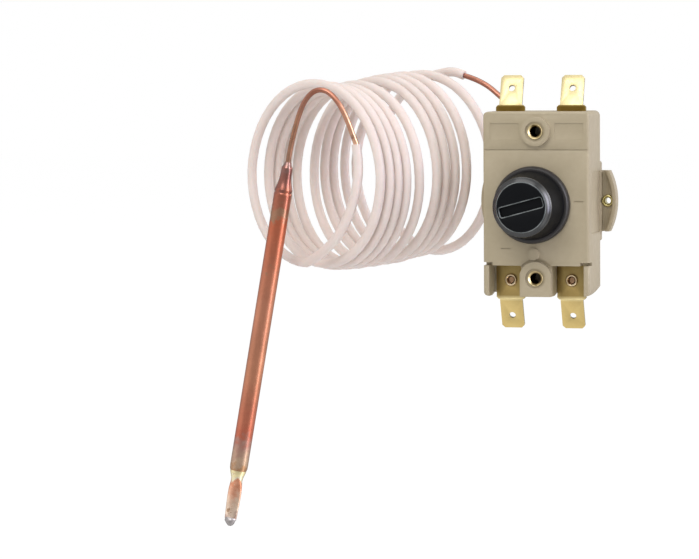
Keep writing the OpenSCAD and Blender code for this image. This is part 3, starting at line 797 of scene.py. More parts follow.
@dataclass
class Bulb:
    """The sensing bulb: neck, cone, long straight body, crimp and pinched tail with solder."""

    copper: Finish
    crimp: Finish
    solder: Finish
    neck: Point = (-67.4, -8, 11.7)
    tilt: float = 10.0
    sides: int = 40
    body: tuple[Station, ...] = stations(
        (-0.2, 0.8), (0.0, 0.95), (0.5, 1.05), (1.0, 1.3), (1.35, 1.5), (1.6, 1.54), (2.3, 1.56), (3.9, 1.64),
        (4.9, 1.75), (5.8, 1.94), (6.6, 2.16), (7.4, 2.4), (7.8, 2.47), (8.0, 2.42), (8.2, 2.32), (8.4, 2.36),
        (8.65, 2.48), (9.0, 2.5), (30.0, 2.5), (50.0, 2.5), (70.0, 2.5), (85.0, 2.5), (85.9, 2.46),
        (86.5, 2.3, 2.32))
    tail: tuple[Station, ...] = stations(
        (86.3, 2.22), (86.9, 2.24, 2.2), (87.8, 1.95, 1.85), (88.7, 1.68, 1.6), (89.6, 1.62, 1.42),
        (90.5, 1.75, 1.1), (92.0, 1.92, 0.84), (94.0, 1.95, 0.8), (97.0, 1.86, 0.8), (99.5, 1.74, 0.8),
        (100.4, 1.66, 0.78), (100.6, 1.4, 0.6))
    bead: tuple[Station, ...] = stations(
        (99.7, 0.9, 0.5), (99.9, 1.5, 0.86, -0.05), (100.4, 1.62, 1.1, 0.1), (100.9, 1.5, 1.25, -0.1),
        (101.5, 1.2, 1.1, 0.05), (102.0, 0.82, 0.8, 0.1), (102.3, 0.4, 0.4, 0.05))

    def placed(self) -> Matrix:
        """Returns the matrix from the bulb's own frame, downwards from its neck, to the row's frame."""
        return (Matrix.Translation(Vector(self.neck) * MM) @ Matrix.Rotation(math.radians(self.tilt), 4, "Y")
                @ Matrix.Scale(-1, 4, Vector((0, 0, 1))))

    def loft(self, stations: Sequence[Station]) -> Shape:
        """Extrudes a ring from section to section.

        Args:
            stations: the sections, from the neck down.

        Returns:
            The closed shape, in the row's frame.
        """
        bm = bmesh.new()
        ring = bmesh.ops.create_circle(bm, cap_ends=True, segments=self.sides, radius=1.0)["verts"]
        first = stations[0]
        bmesh.ops.transform(bm, verts=ring, matrix=self.section(first))
        edges = list({edge for vert in ring for edge in vert.link_edges})
        before = first
        for station in stations[1:]:
            grown = bmesh.ops.extrude_edge_only(bm, edges=edges)["geom"]
            ring = [item for item in grown if isinstance(item, bmesh.types.BMVert)]
            edges = [item for item in grown if isinstance(item, bmesh.types.BMEdge)]
            bmesh.ops.transform(bm, verts=ring, matrix=self.section(station) @ self.section(before).inverted())
            before = station
        bmesh.ops.contextual_create(bm, geom=edges)
        bmesh.ops.transform(bm, verts=bm.verts, matrix=self.placed())
        outward(bm)
        return bm

    @staticmethod
    def section(station: Station) -> Matrix:
        """Returns the matrix from a unit circle to a section."""
        return (Matrix.Translation(Vector((station.aside, 0, station.down)) * MM)
                @ Matrix.Diagonal((station.wide * MM, station.thick * MM, 1.0, 1.0)))

    def build(self) -> list[Piece]:
        """Builds the bulb.

        Returns:
            The pieces on the capillary's end.
        """
        return [finished("bulb_body", self.loft(self.body), self.copper, "sensing_bulb", 50),
                finished("bulb_crimp", self.loft(self.tail), self.crimp, "", 60),
                finished("bulb_solder_bead", self.loft(self.bead), self.solder, "bulb_solder", 80)]


# --------------------------------------------------------------------- housing


@dataclass
class Housing(SubAssembly):
    """The moulded housing with its rear cover and the threaded inserts."""

    plastic: Finish
    cover_plastic: Finish
    brass: Finish
    edge: float = 0.14 * MM
    cover_edge: float = 0.1 * MM
    insert_r: float = 2.075 * MM
    insert_bore: float = 1.5 * MM
    insert_len: float = 6.6 * MM
    funnel: float = 0.45 * MM
    thread_deep: float = 0.22 * MM
    hole_z: float = 20 * MM
    pitch: float = 0.5 * MM

    def build(self) -> None:
        """Builds the housing's pieces."""
        self.soft("front_housing", "housing_shell", self.plastic, "housing_plastic", self.edge)
        self.soft("rear_cover", "cover_shell", self.cover_plastic, "housing_plastic", self.cover_edge)
        for label, side in (("upper", 1), ("lower", -1)):
            finished(f"thread_insert_{label}", self.insert(side * self.hole_z), self.brass,
                     f"fixing_insert_{label}", 25)

    def insert(self, z: float) -> Shape:
        """Turns one insert with a thread in its bore.

        Args:
            z: its height.

        Returns:
            The insert's shape.
        """
        bm = bmesh.new()
        bore = self.insert_bore
        outer = rounded([(bore, self.funnel), (bore + self.funnel, 0.0), (self.insert_r, 0.0),
                         (self.insert_r, self.insert_len), (bore, self.insert_len)], 0.12 * MM)
        thread = []
        for turn in range(int(self.insert_len / self.pitch) - 1, 0, -1):
            depth = self.funnel + turn * self.pitch
            thread += [(bore, depth), (bore + self.thread_deep, depth - self.pitch / 2)]
        turned(bm, outer + thread, z=z)
        outward(bm)
        return bm


# ---------------------------------------------------------------- reset column


@dataclass
class ResetColumn(SubAssembly):
    """The black screw cap over its bush, with the reset button inside."""

    dull: Finish
    gloss: Finish
    side: Finish
    # Finish of the bush and its thread: black with a painted sheen
    rim_painted_sheen: Finish
    # Light grey finish of the slot's lip and the face's rim: a painted highlight
    worn: Finish
    button: Finish
    axis_x: float = -1 * MM
    face_y: float = -13.4 * MM
    base_y: float = -0.4 * MM
    face_r: float = 6.95 * MM
    shoulder_r: float = 8.15 * MM
    shoulder_deep: float = 1.75 * MM
    skirt_r: float = 9.35 * MM
    bore_r: float = 4.9 * MM
    bore_y: float = -9.9 * MM
    slot_long: float = 12 * MM
    slot_wide: float = 2.6 * MM
    slot_deep: float = 1.2 * MM
    slot_angle: float = 15.0
    lip: float = 0.28 * MM
    tube_r: float = 4.8 * MM
    tube_y: float = -8.0 * MM
    pitch: float = 1.0 * MM
    round_r: float = 0.45 * MM
    bend_in: float = 0.28 * MM
    bend_up: float = 0.42 * MM
    bend_size: Pair = (0.3 * MM, 0.5 * MM)
    bend_down: float = 0.1 * MM
    skirt_steps: int = 16
    skirt_curve: float = 1.2
    skirt_t: float = 1.2 * MM
    rim_deep: float = 2 * MM

    def bell(self) -> list[Pair]:
        """Gives the cap's outline.

        Returns:
            Points of radius and depth, from the middle of its face round its skirt into its bore.
        """
        edge, (bend_wide, bend_high) = self.round_r, self.bend_size
        line = [(0.0, self.face_y), (self.face_r - 2 * edge, self.face_y)]
        line += [(self.face_r - edge + edge * math.sin(a), self.face_y + edge - edge * math.cos(a))
                 for a in (0, math.pi / 8, math.pi / 4, 3 * math.pi / 8)]
        shoulder = self.face_y + self.shoulder_deep
        bend_r, low = self.shoulder_r - self.bend_in, shoulder + self.bend_down
        line += [(self.face_r + 0.05 * MM, self.face_y + edge), (bend_r, shoulder - self.bend_up)]
        line += [(bend_r + bend_wide * math.sin(a), low - bend_high * math.cos(a))
                 for a in (math.pi / 5, math.pi / 3, math.pi / 2)]
        for step in range(1, self.skirt_steps + 1):
            t = step / self.skirt_steps
            line.append((self.shoulder_r + (self.skirt_r - self.shoulder_r) * t ** self.skirt_curve,
                         low + (self.base_y - 0.6 * MM - low) * t))
        inner, rim = self.skirt_r - self.skirt_t, self.base_y - self.rim_deep
        line += rounded([(self.skirt_r, self.base_y - 0.5 * MM), (self.skirt_r, self.base_y), (inner, self.base_y),
                         (inner, rim), (self.bore_r, rim), (self.bore_r, self.bore_y)], 0.15 * MM)
        return line + [(0.0, self.bore_y)]

    def cap(self) -> Shape:
        """Turns the cap, cuts its coin slot and rounds the slot's lip.

        Returns:
            The cap's shape.
        """
        bm = bmesh.new()
        turned(bm, self.bell(), self.axis_x, steps=96, closed=False)
        outward(bm)
        cutter = bmesh.new()
        bmesh.ops.create_cube(cutter, size=1.0)
        bmesh.ops.scale(cutter, verts=cutter.verts, vec=(self.slot_long, 2 * self.slot_deep, self.slot_wide))
        upright = [e for e in cutter.edges if abs(e.verts[0].co.y - e.verts[1].co.y) > self.slot_deep]
        bevelled(cutter, upright, 0.5 * MM, 6)
        bmesh.ops.transform(cutter, verts=cutter.verts,
                            matrix=Matrix.Translation((self.axis_x, self.face_y, 0))
                            @ Matrix.Rotation(-math.radians(self.slot_angle), 4, "Y"))
        bm = carved(bm, cutter)
        flattened(bm)
        level, inside, sharp_from = 0.01 * MM, self.face_r - 0.6 * MM, 1.0
        lip = [e for e in bm.edges if all(abs(v.co.y - self.face_y) < level for v in e.verts)
               and all(math.hypot(v.co.x - self.axis_x, v.co.z) < inside for v in e.verts)
               and len(e.link_faces) == 2 and e.calc_face_angle(0) > sharp_from]
        # The slot's rounded lip gets the light grey finish, a painted highlight along the slot's edges
        bevelled(bm, lip, self.lip, 2, slot=CapSlot.WORN)
        split_large(bm)
        return bm

    def build(self) -> None:
        """Builds the cap, the bush and the button."""
        cap = finished("screw_cap", self.cap(), self.dull, "reset_cap", 40, "cap")
        for finish in (self.worn, self.gloss, self.side):
            cap.data.materials.append(finish.material)
        self.mark_faces(cap)
        self.soft("cap_bush", "bush_flange", self.rim_painted_sheen, "cap_plastic", 0.12 * MM)
        finished("bush_thread", self.thread(), self.rim_painted_sheen, "", 60)
        self.soft("reset_button", "reset_plunger", self.button, "button_plastic", 0.15 * MM, "button")

    def mark_faces(self, cap: Piece) -> None:
        """Gives the cap's outside its slots, behind the flat face that keeps the first one.

        Args:
            cap: the screw cap.
        """
        # The face's rounded rim gets the light grey finish, a painted highlight of the rim
        outside, flat, highlight_to = self.face_r - 0.4 * MM, 0.03 * MM, 0.3 * MM
        for face in cap.data.polygons:
            depth = face.center.y - self.face_y
            if math.hypot(face.center.x - self.axis_x, face.center.z) > outside:
                if flat < depth < highlight_to:
                    face.material_index = CapSlot.WORN
                elif depth > highlight_to:
                    past = depth >= self.shoulder_deep + self.bend_down
                    face.material_index = CapSlot.SIDE if past else CapSlot.SHOULDER

    def thread(self) -> Shape:
        """Winds the thread's ridge round the bush's tube.

        Returns:
            The ridge's shape.
        """
        bm = bmesh.new()
        start, half, turns, steps = self.tube_y + 0.6 * MM, 0.3 * self.pitch, 5, 40
        foot, crest = self.tube_r - 0.15 * MM, self.tube_r + 0.07 * MM
        ridge = [(foot, start - half), (crest, start), (foot, start + half)]
        face = bm.faces.new([bm.verts.new((self.axis_x + radius, depth, 0)) for radius, depth in ridge])
        wound(bm, face, (self.axis_x, 0, 0), turns, steps, self.pitch)
        return bm


def carved(body: Shape, cutter: Shape) -> Shape:
    """Cuts one closed shape out of another.

    Args:
        body: the shape that is cut, which is freed.
        cutter: the shape that is taken out, which is freed.

    Returns:
        What is left of the body.
    """
    objects = []
    for label, bm in (("carve_body", body), ("carve_cutter", cutter)):
        bmesh.ops.recalc_face_normals(bm, faces=bm.faces)
        objects.append(linked(label, meshed(label, bm)))
    cut = objects[0].modifiers.new("carve", "BOOLEAN")
    cut.operation = "DIFFERENCE"
    cut.solver = "EXACT"
    cut.object = objects[1]
    result = bmesh.new()
    result.from_object(objects[0], bpy.context.evaluated_depsgraph_get())
    for item in objects:
        mesh = item.data
        bpy.data.objects.remove(item)
        bpy.data.meshes.remove(mesh)
    return result


# ------------------------------------------------------------------- terminals


@dataclass
class Terminals(SubAssembly):
    """The four folded blades with their rivets, and the rivets of the ears."""

    # Blade finishes: both darken the plates as painted shade, and the lower one also paints a highlight at the fold
    bright: Finish
    golden: Finish
    sheared: Finish
    rivet: Finish
    ear_rivet: Finish
    pole_x: float = 8.5 * MM
    rivet_z: float = 20.9 * MM
    ear_x: float = 16.35 * MM
    ear_z: float = 0.45 * MM
    bore: float = 0.85 * MM
    head_r: float = 1.65 * MM
    shank: float = 1.3 * MM
    edge: float = 0.1 * MM
    blade_from: float = 29 * MM
    blade_rivet: tuple[float, float, float] = (8.0 * MM, 10.4 * MM, 9.4 * MM)
    ear_rivet_y: Pair = (19.5 * MM, 21.8 * MM)
    head_h: float = 0.6 * MM
    foot_h: float = 0.5 * MM

    def hollow(self, bm: Shape, x: float, z: float, front: float, back: float, bottom: float | None = None) -> None:
        """Turns one rivet with a funnel-shaped hollow head.

        Args:
            bm: the mesh that the rivet goes into.
            x: its place to the right.
            z: its height.
            front: depth of the surface that its head lies on.
            back: depth of the surface behind it.
            bottom: depth of its bore's end, or None where the bore runs through.
        """
        head, foot, foot_r = front - self.head_h, back + self.foot_h, self.shank + 0.4 * MM
        inside = [(self.bore, head + 0.5 * MM), (self.bore + 0.35 * MM, head), (self.head_r - 0.2 * MM, head),
                  (self.head_r, head + 0.2 * MM), (self.head_r, front), (self.shank, front), (self.shank, back),
                  (foot_r, back), (foot_r, foot)]
        if bottom is None:
            turned(bm, rounded([(self.bore, foot)] + inside + [(self.bore, foot)], 0.1 * MM)[:-1], x, z)
        else:
            line = rounded([(0.0, bottom), (self.bore, bottom)] + inside + [(0.0, foot)], 0.1 * MM)
            turned(bm, line, x, z, closed=False)

    def build(self) -> None:
        """Builds the blades and the rivets."""
        for level, finish in (("upper", self.bright), ("lower", self.golden)):
            for side in ("left", "right"):
                blade = self.soft(f"terminal_{level}_{side}", f"blade_{level}_{side}", finish, "terminal_brass",
                                  self.edge)
                blade.data.materials.append(self.sheared.material)
                self.mark_cuts(blade)
        blades = [(x, z, *self.blade_rivet) for x in (-self.pole_x, self.pole_x)
                  for z in (-self.rivet_z, self.rivet_z)]
        ears = [(x, self.ear_z, *self.ear_rivet_y) for x in (-self.ear_x, self.ear_x)]
        for name, places, finish, node in (("blade_rivets", blades, self.rivet, "terminal_rivets"),
                                           ("ear_tube_rivets", ears, self.ear_rivet, "ear_rivets")):
            bm = bmesh.new()
            for place in places:
                self.hollow(bm, *place)
            outward(bm)
            finished(name, bm, finish, node, 60)

    def mark_cuts(self, blade: Piece) -> None:
        """Gives the sheared sides, the tip and the hole of a blade the finish of cut metal.

        Args:
            blade: the blade, with that finish in its second slot.
        """
        sideways, level = 0.5, 0.6
        for face in blade.data.polygons:
            outer = abs(face.center.z) > self.blade_from
            if abs(face.normal.x) > sideways or (outer and abs(face.normal.y) < level):
                face.material_index = 1


# ------------------------------------------------------------- switch and rear


@dataclass
class Springs(SubAssembly):
    """The return spring of the button and the two springs of the contact carrier."""

    steel: Finish
    wire: float = 0.5 * MM
    axis_x: float = -1 * MM
    reset_r: float = 2.2 * MM
    contact_r: float = 1.65 * MM
    seat_y: float = 4.4 * MM
    middle_y: float = 6.4 * MM
    carrier_y: float = 8.4 * MM
    wall_y: float = 3.1 * MM
    post_z: float = 8.5 * MM

    def coil(self, name: str, radius: float, front: float, back: float, places: Sequence[float],
             turns: int) -> Piece:
        """Winds springs along Y as one mesh.

        Args:
            name: the CAD node's name, or that of a further piece.
            radius: radius to the middle of the wire.
            front: where the springs start.
            back: where they end.
            places: the height of each spring.
            turns: number of turns.

        Returns:
            The springs' object.
        """
        bm = bmesh.new()
        for z in places:
            ring = bmesh.ops.create_circle(bm, cap_ends=True, segments=10, radius=self.wire / 2)["verts"]
            bmesh.ops.translate(bm, verts=ring, vec=(self.axis_x + radius, front + self.wire / 2, z))
            wound(bm, next(iter(ring[0].link_faces)), (self.axis_x, 0, z), turns, 28,
                  (back - front - self.wire) / turns)
        node = name if name in self.frame["nodes"] else ""
        return finished(f"{name}_wire", bm, self.steel, node, 60)

    def build(self) -> None:
        """Builds the springs, each with a mesh of its own."""
        button = self.coil("reset_spring", self.reset_r, self.seat_y, self.middle_y, (0.0,), 2)
        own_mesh(button)
        rear = self.coil("reset_spring_rear", self.reset_r, self.middle_y, self.carrier_y, (0.0,), 2)
        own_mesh(rear)
        posts = self.coil("contact_springs", self.contact_r, self.wall_y, self.carrier_y,
                          (-self.post_z, self.post_z), 4)
        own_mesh(posts)


@dataclass
class InnerWorks(SubAssembly):
    """The switch's parts, the trip lever and the diaphragm."""

    carrier: Finish
    bar: Finish
    silver: Finish
    steel: Finish
    brass: Finish
    ceramic: Finish
    cup: Finish
    capillary_brass: Finish
    edge: float = 0.08 * MM
    metal_edge: float = 0.2 * MM

    def build(self) -> None:
        """Gives each inner node its finish, with rounded edges where they show."""
        self.soft("contact_carrier", "carrier_moulding", self.carrier, "carrier_plastic", self.edge,
                  "carrier")
        for side in ("left", "right"):
            self.soft(f"contact_bar_{side}", f"bridge_bar_{side}", self.bar, "bar_copper", self.edge, "carrier")
        self.soft("trip_lever", "tilt_lever", self.steel, "steel", self.edge, "lever")
        self.soft("diaphragm_cup", "pressure_cup", self.cup, "steel", self.metal_edge, segments=3)
        self.soft("capillary_ferrule", "brazed_ferrule", self.capillary_brass, "insert_brass", self.metal_edge)
        for name, finish in (("fixed_contacts", self.silver), ("lever_pin", self.steel),
                             ("calibration_screw", self.brass), ("thrust_pin", self.ceramic),
                             ("diaphragm_capsule", self.steel)):
            dress(self.frame["nodes"][name], finish.material)


def dress(node: Piece, material: Material) -> None:
    """Gives a CAD node a material in all its slots.

    Args:
        node: the CAD node's object.
        material: its finish.
    """
    if not node.material_slots:
        node.data.materials.append(material)
    for place in node.material_slots:
        place.material = material
    LOG.info("%s: finish %s", node.name, material.name)


# ---------------------------------------------------------------------- studio


@dataclass
class Lamp:
    """One soft rectangular light."""

    name: str
    place: Point
    aim: Point
    width: float
    height: float
    power: float
    tint: Colour = (1.0, 1.0, 1.0)

    def build(self) -> None:
        """Places the light and turns it to what it lights."""
        data = bpy.data.lights.new(self.name, "AREA")
        data.shape = "RECTANGLE"
        data.size = self.width
        data.size_y = self.height
        data.energy = self.power
        data.color = self.tint
        lamp = linked(self.name, data)
        lamp.location = self.place
        lamp.rotation_euler = (Vector(self.aim) - Vector(self.place)).to_track_quat("-Z", "Y").to_euler()


@dataclass(frozen=True)
class Glow:
    """A bright panel at the right that only reflections show: where it is and how its borders fade."""

    level: float
    middle_y: float
    side: Pair
    right: Pair
    low: Pair | None = None


@dataclass
class Studio:
    """The camera, the lights, the pale floor and the white surround."""

    yaw: float = 15.10
    pitch: float = 3.83
    roll: float = -0.38
    place: Point = (0.2115, -0.9778, 0.0470)
    focal_pixels: float = 3679.0
    image_width: int = 699
    sensor: float = 36.0
    floor_z: float = -0.0925
    floor_size: float = 6.0
    world_light: float = 0.60
    dim: tuple[tuple[Point, Pair, float], ...] = (
        ((0.26, -0.965, 0.0), (0.35, 0.85), -0.40), ((-0.25, 0.96, -0.1), (0.2, 0.75), -0.45))
    panel: Glow = Glow(1.1, -0.06, (0.10, 0.22), (0.5, 0.7))
    window: Glow = Glow(4.5, -0.15, (0.16, 0.36), (0.55, 0.9), (-0.14, 0.12))
    floor_tone: Colour = (0.86, 0.86, 0.86)
    floor_glow: float = 1.05
    floor_glow_share: float = 0.9
    lamps: tuple[Lamp, ...] = (
        Lamp("key_panel", (-0.12, -1.15, 0.95), (-0.03, 0.0, 0.0), 0.9, 0.7, 10.0),
        Lamp("side_strip", (1.15, -0.20, 0.22), (-0.02, 0.0, 0.0), 0.26, 1.1, 7.0, (0.76, 0.75, 1.0)),
        Lamp("back_strip", (0.82, 0.78, 0.22), (0.0, 0.0, 0.0), 0.22, 0.5, 2.4),
        Lamp("top_panel", (-0.05, 0.15, 1.05), (-0.03, 0.0, 0.0), 0.9, 0.7, 3.0))

    def camera(self) -> None:
        """Places the camera at the photograph's viewing angle."""
        yaw, pitch, roll = (math.radians(a) for a in (self.yaw, self.pitch, self.roll))
        right = Vector((math.cos(yaw), math.sin(yaw), 0))
        ahead = Vector((-math.sin(yaw) * math.cos(pitch), math.cos(yaw) * math.cos(pitch), -math.sin(pitch)))
        up = right.cross(ahead)
        turned_right = math.cos(roll) * right + math.sin(roll) * up
        turned_up = -math.sin(roll) * right + math.cos(roll) * up
        data = bpy.data.cameras.new("photo_camera")
        data.sensor_width = self.sensor
        data.lens = self.focal_pixels / self.image_width * self.sensor
        data.clip_start = 0.05
        data.clip_end = 20
        camera = linked("photo_camera", data)
        camera.matrix_world = (Matrix.Translation(self.place)
                               @ Matrix((turned_right, turned_up, -ahead)).transposed().to_4x4())
        bpy.context.scene.camera = camera

    def glow_level(self, kit: NodeKit, direction: Socket) -> Socket:
        """Gives how bright the studio is in reflections: dim in front and behind, brightest at the right.

        Args:
            kit: the world's node helper.
            direction: the way from the object.

        Returns:
            The brightness.
        """
        unit = kit.vector("NORMALIZE", direction).outputs[0]
        level = 1.0
        for way, span, change in self.dim:
            dot = kit.vector("DOT_PRODUCT", unit, way).outputs["Value"]
            level = kit.maths("ADD", kit.spread(dot, *span, 0.0, change), level)
        parts = kit.add("ShaderNodeSeparateXYZ", {0: unit}).outputs
        glows = [self.glow(kit, parts, glow) for glow in (self.panel, self.window)]
        return kit.maths("ADD", level, kit.maths("MAXIMUM", *glows))

    @staticmethod
    def glow(kit: NodeKit, parts: Mapping[str, Socket], glow: Glow) -> Socket:
        """Gives how bright one panel is in a direction.

        Args:
            kit: the world's node helper.
            parts: the direction's X, Y and Z.
            glow: the panel.

        Returns:
            The brightness.
        """
        aside = kit.maths("ABSOLUTE", kit.maths("ADD", parts["Y"], -glow.middle_y))
        share = kit.spread(aside, *glow.side, 1.0, 0.0)
        if glow.low:
            share = kit.maths("MULTIPLY", share, kit.spread(parts["Z"], *glow.low))
        return kit.maths("MULTIPLY", share, kit.spread(parts["X"], *glow.right, 0.0, glow.level))

    def surround(self) -> None:
        """Makes the world white to the camera, a studio in reflections and plain light elsewhere."""
        world = bpy.data.worlds.new("white_surround")
        kit = fresh_kit(world)
        path = kit.add("ShaderNodeLightPath").outputs
        level = self.glow_level(kit, kit.add("ShaderNodeTexCoord").outputs["Generated"])
        white = (1.0, 1.0, 1.0)
        light = kit.add("ShaderNodeBackground", {"Color": white, "Strength": self.world_light})
        seen = kit.add("ShaderNodeBackground", {
            "Color": white, "Strength": kit.maths("MAXIMUM", level, path["Is Camera Ray"])})
        shown = kit.maths("MAXIMUM", path["Is Camera Ray"], path["Is Transmission Ray"])
        shown = kit.maths("MAXIMUM", shown, path["Is Glossy Ray"])
        kit.add("ShaderNodeOutputWorld", {"Surface": kit.mixed(shown, light, seen)})
        bpy.context.scene.world = world

    def floor(self) -> None:
        """Lays the pale floor, white to the camera but for the object's shadow."""
        bm = bmesh.new()
        bmesh.ops.create_grid(bm, x_segments=1, y_segments=1, size=self.floor_size / 2)
        bmesh.ops.translate(bm, verts=bm.verts, vec=(0, 0, self.floor_z))
        mesh = meshed("pale_floor", bm)
        material = bpy.data.materials.new("pale_floor")
        kit = fresh_kit(material)
        matte = kit.add("ShaderNodeBsdfDiffuse", {"Color": self.floor_tone})
        glow = kit.add("ShaderNodeEmission", {"Strength": self.floor_glow})
        camera_ray = kit.add("ShaderNodeLightPath").outputs["Is Camera Ray"]
        share = kit.maths("MULTIPLY", camera_ray, self.floor_glow_share)
        kit.add("ShaderNodeOutputMaterial", {"Surface": kit.mixed(share, matte, glow)})
        mesh.materials.append(material)
        floor = linked("pale_floor", mesh)
        floor.visible_glossy = False

    def build(self) -> None:
        """Sets up the whole studio."""
        self.camera()
        self.surround()
        self.floor()
        for lamp in self.lamps:
            lamp.build()
        bpy.context.scene.view_settings.view_transform = "Standard"


# ------------------------------------------------------------------ the finishes


METAL = partial(Finish, metallic=1.0)
BRASS = partial(METAL, relief_scale=3000.0, relief_strength=0.2)
BLADE = partial(METAL, tone_scale=140.0, relief=Relief.BRUSHED, relief_scale=3200.0, ripple=0.0)
BULB_METAL = partial(METAL, along_from=(-0.0674, -0.008, 0.0117), along_to=(-0.0848, -0.008, -0.0868))
SHEET = partial(METAL, relief=Relief.BRUSHED)
BLACK = partial(Finish, tone_scale=60.0, relief_scale=900.0)
MOULDED = partial(Finish, tone_scale=45.0, relief_scale=5200.0, relief_depth=0.02 * MM, relief_strength=0.3)
DEEP_GRAIN = partial(Finish, relief_depth=0.02 * MM)

BEIGE = MOULDED("beige_moulding", (0.40, 0.335, 0.222), (0.36, 0.30, 0.195), (0.42, 0.56))
COVER_BEIGE = MOULDED("beige_cover", (0.39, 0.325, 0.215), (0.35, 0.29, 0.19), (0.46, 0.6))
BLACK_FACE = BLACK("black_cap_face", (0.0045, 0.005, 0.006), (0.0035, 0.004, 0.005), (0.24, 0.34),
                   relief_strength=0.15, specular=0.1)
BLACK_GLOSS = BLACK("black_gloss_shoulder", (0.006, 0.0065, 0.007), (0.004, 0.0045, 0.005), (0.17, 0.25),
                    relief_strength=0.2, specular=0.62)
BLACK_SIDE = BLACK("black_cap_side", (0.008, 0.0082, 0.009), (0.006, 0.0062, 0.007), (0.4, 0.5),
                   relief_strength=0.2, specular=0.03)
# Bush and thread: black plastic, lifted to dark grey by a painted sheen that stands in for the beige it reflects
BLACK_RIM_PAINTED_SHEEN = BLACK("black_rim_painted_sheen", (0.036, 0.033, 0.032), (0.026, 0.024, 0.024), (0.28, 0.4),
                  relief_strength=0.15, specular=0.3)
# Light grey edge finish of the cap: a painted highlight on the slot's lip and the face's rim
BLACK_PAINTED_HIGHLIGHT = DEEP_GRAIN("black_edge_painted_highlight", (0.19, 0.205, 0.20), (0.06, 0.07, 0.07), (0.35, 0.5),
                        tone_scale=420.0, relief_scale=1500.0, specular=0.3)
BUTTON_RED = DEEP_GRAIN("red_button", (0.42, 0.03, 0.025), (0.36, 0.025, 0.02), (0.3, 0.42), relief_scale=2200.0)
# Upper blades: the ramp darkens the flat plate strip by the housing, painted shade standing in for the dark that the
# plate reflects
UPPER_BLADE_BRASS_PAINTED_SHADE = BLADE("upper_blade_brass_painted_shade", (0.56, 0.48, 0.27), (0.50, 0.42, 0.22), (0.34, 0.48),
                     along_from=(0, 0, 0.022), along_to=(0, 0, 0.036),
                     along=((0.0, (0.37, 0.27, 0.10)), (0.33, (0.39, 0.29, 0.11)), (0.352, (0.70, 0.58, 0.34)),
                            (0.375, (1.0, 1.0, 1.0))))
# Lower blades: the ramp darkens the plate in its recess as painted shade and lightens a band at the fold as a painted
# highlight
LOWER_BLADE_BRASS_PAINTED_LIGHT = BLADE("lower_blade_brass_painted_light", (0.98, 0.84, 0.46), (0.90, 0.74, 0.38), (0.34, 0.48),
                     along_from=(0, 0, -0.016), along_to=(0, 0, -0.036),
                     along=((0.0, (0.36, 0.31, 0.22)), (0.46, (0.42, 0.36, 0.25)), (0.505, (1.0, 1.0, 1.0)),
                            (0.54, (0.80, 0.72, 0.56)), (1.0, (0.76, 0.68, 0.50))))
SHEARED_BRASS = BRASS("sheared_brass_edge", (0.40, 0.35, 0.22), (0.27, 0.23, 0.15), (0.5, 0.65),
                      tone_scale=300.0)
# Rivet heads: the ramp darkens the bore's walls as painted shade, and makes the bore's end a little lighter again
RIVET_BRASS = BRASS("rivet_brass", (0.86, 0.72, 0.50), (0.70, 0.54, 0.34), (0.18, 0.32),
                    tone_scale=420.0, relief_strength=0.15, along_from=(0, 0.0074, 0), along_to=(0, 0.0094, 0),
                    along=((0.0, (1.0, 1.0, 1.0)), (0.12, (1.0, 0.95, 0.9)), (0.22, (0.42, 0.30, 0.24)),
                           (0.6, (0.20, 0.12, 0.09)), (0.9, (0.30, 0.2, 0.16)), (1.0, (0.55, 0.42, 0.36))),
                    ripple=0.05)
EAR_BRASS = BRASS("ear_rivet_brass", (0.80, 0.72, 0.36), (0.62, 0.54, 0.24), (0.2, 0.34), tone_scale=420.0,
                  relief_strength=0.15)
# Inserts: the ramp darkens the threaded bore to near black going in, painted shade in the hole
INSERT_BRASS = BRASS("insert_brass_turned", (0.76, 0.64, 0.36), (0.64, 0.52, 0.28), (0.24, 0.4),
                     tone_scale=300.0, along_to=(0, 0.0066, 0),
                     along=((0.0, (1.0, 1.0, 1.0)), (0.07, (0.7, 0.65, 0.6)), (0.13, (0.10, 0.07, 0.05)),
                            (1.0, (0.03, 0.02, 0.015))))
TURNED_BRASS = BRASS("turned_screw_brass", (0.72, 0.60, 0.34), (0.62, 0.50, 0.27), (0.24, 0.4),
                     tone_scale=300.0)
# Capillary tube: the ramp's lightest stop, where the loop leaves the sleeve, is partly the copper's orange and partly
# a painted highlight
COPPER_LOOP = METAL("capillary_copper_tube", (1.0, 0.96, 0.94), (0.72, 0.68, 0.66), (0.24, 0.38),
                    tone_scale=190.0, relief_scale=2600.0, relief_strength=0.2, stain=(0.22, 0.12, 0.08),
                    stain_scale=210.0, along_to=(-0.068, 0, 0),
                    along=((0.0, (0.46, 0.22, 0.15)), (0.45, (0.46, 0.21, 0.15)), (0.69, (0.80, 0.50, 0.34)),
                           (0.77, (0.48, 0.22, 0.15)), (0.88, (0.37, 0.16, 0.11)), (0.93, (0.50, 0.25, 0.18)),
                           (0.955, (0.52, 0.27, 0.17)), (1.0, (0.34, 0.20, 0.14))))
COPPER_BULB = BULB_METAL(
    "bulb_copper", (1.0, 0.97, 0.95), (0.80, 0.76, 0.75), (0.26, 0.40), tone_scale=90.0, relief=Relief.BRUSHED,
    relief_scale=2600.0, relief_strength=0.18, stain=(0.36, 0.22, 0.14), stain_threshold=0.70,
    along=((0.0, (0.30, 0.19, 0.17)), (0.018, (0.30, 0.14, 0.115)), (0.075, (0.32, 0.13, 0.10)),
           (0.085, (0.44, 0.155, 0.10)), (0.12, (0.42, 0.155, 0.10)), (0.135, (0.40, 0.22, 0.14)),
           (0.158, (0.42, 0.23, 0.15)), (0.168, (0.56, 0.165, 0.09)), (0.4, (0.60, 0.26, 0.165)),
           (0.6, (0.63, 0.28, 0.17)), (0.76, (0.58, 0.175, 0.11)), (0.79, (0.50, 0.28, 0.23)),
           (0.845, (0.66, 0.48, 0.34)), (0.86, (0.55, 0.32, 0.18))))
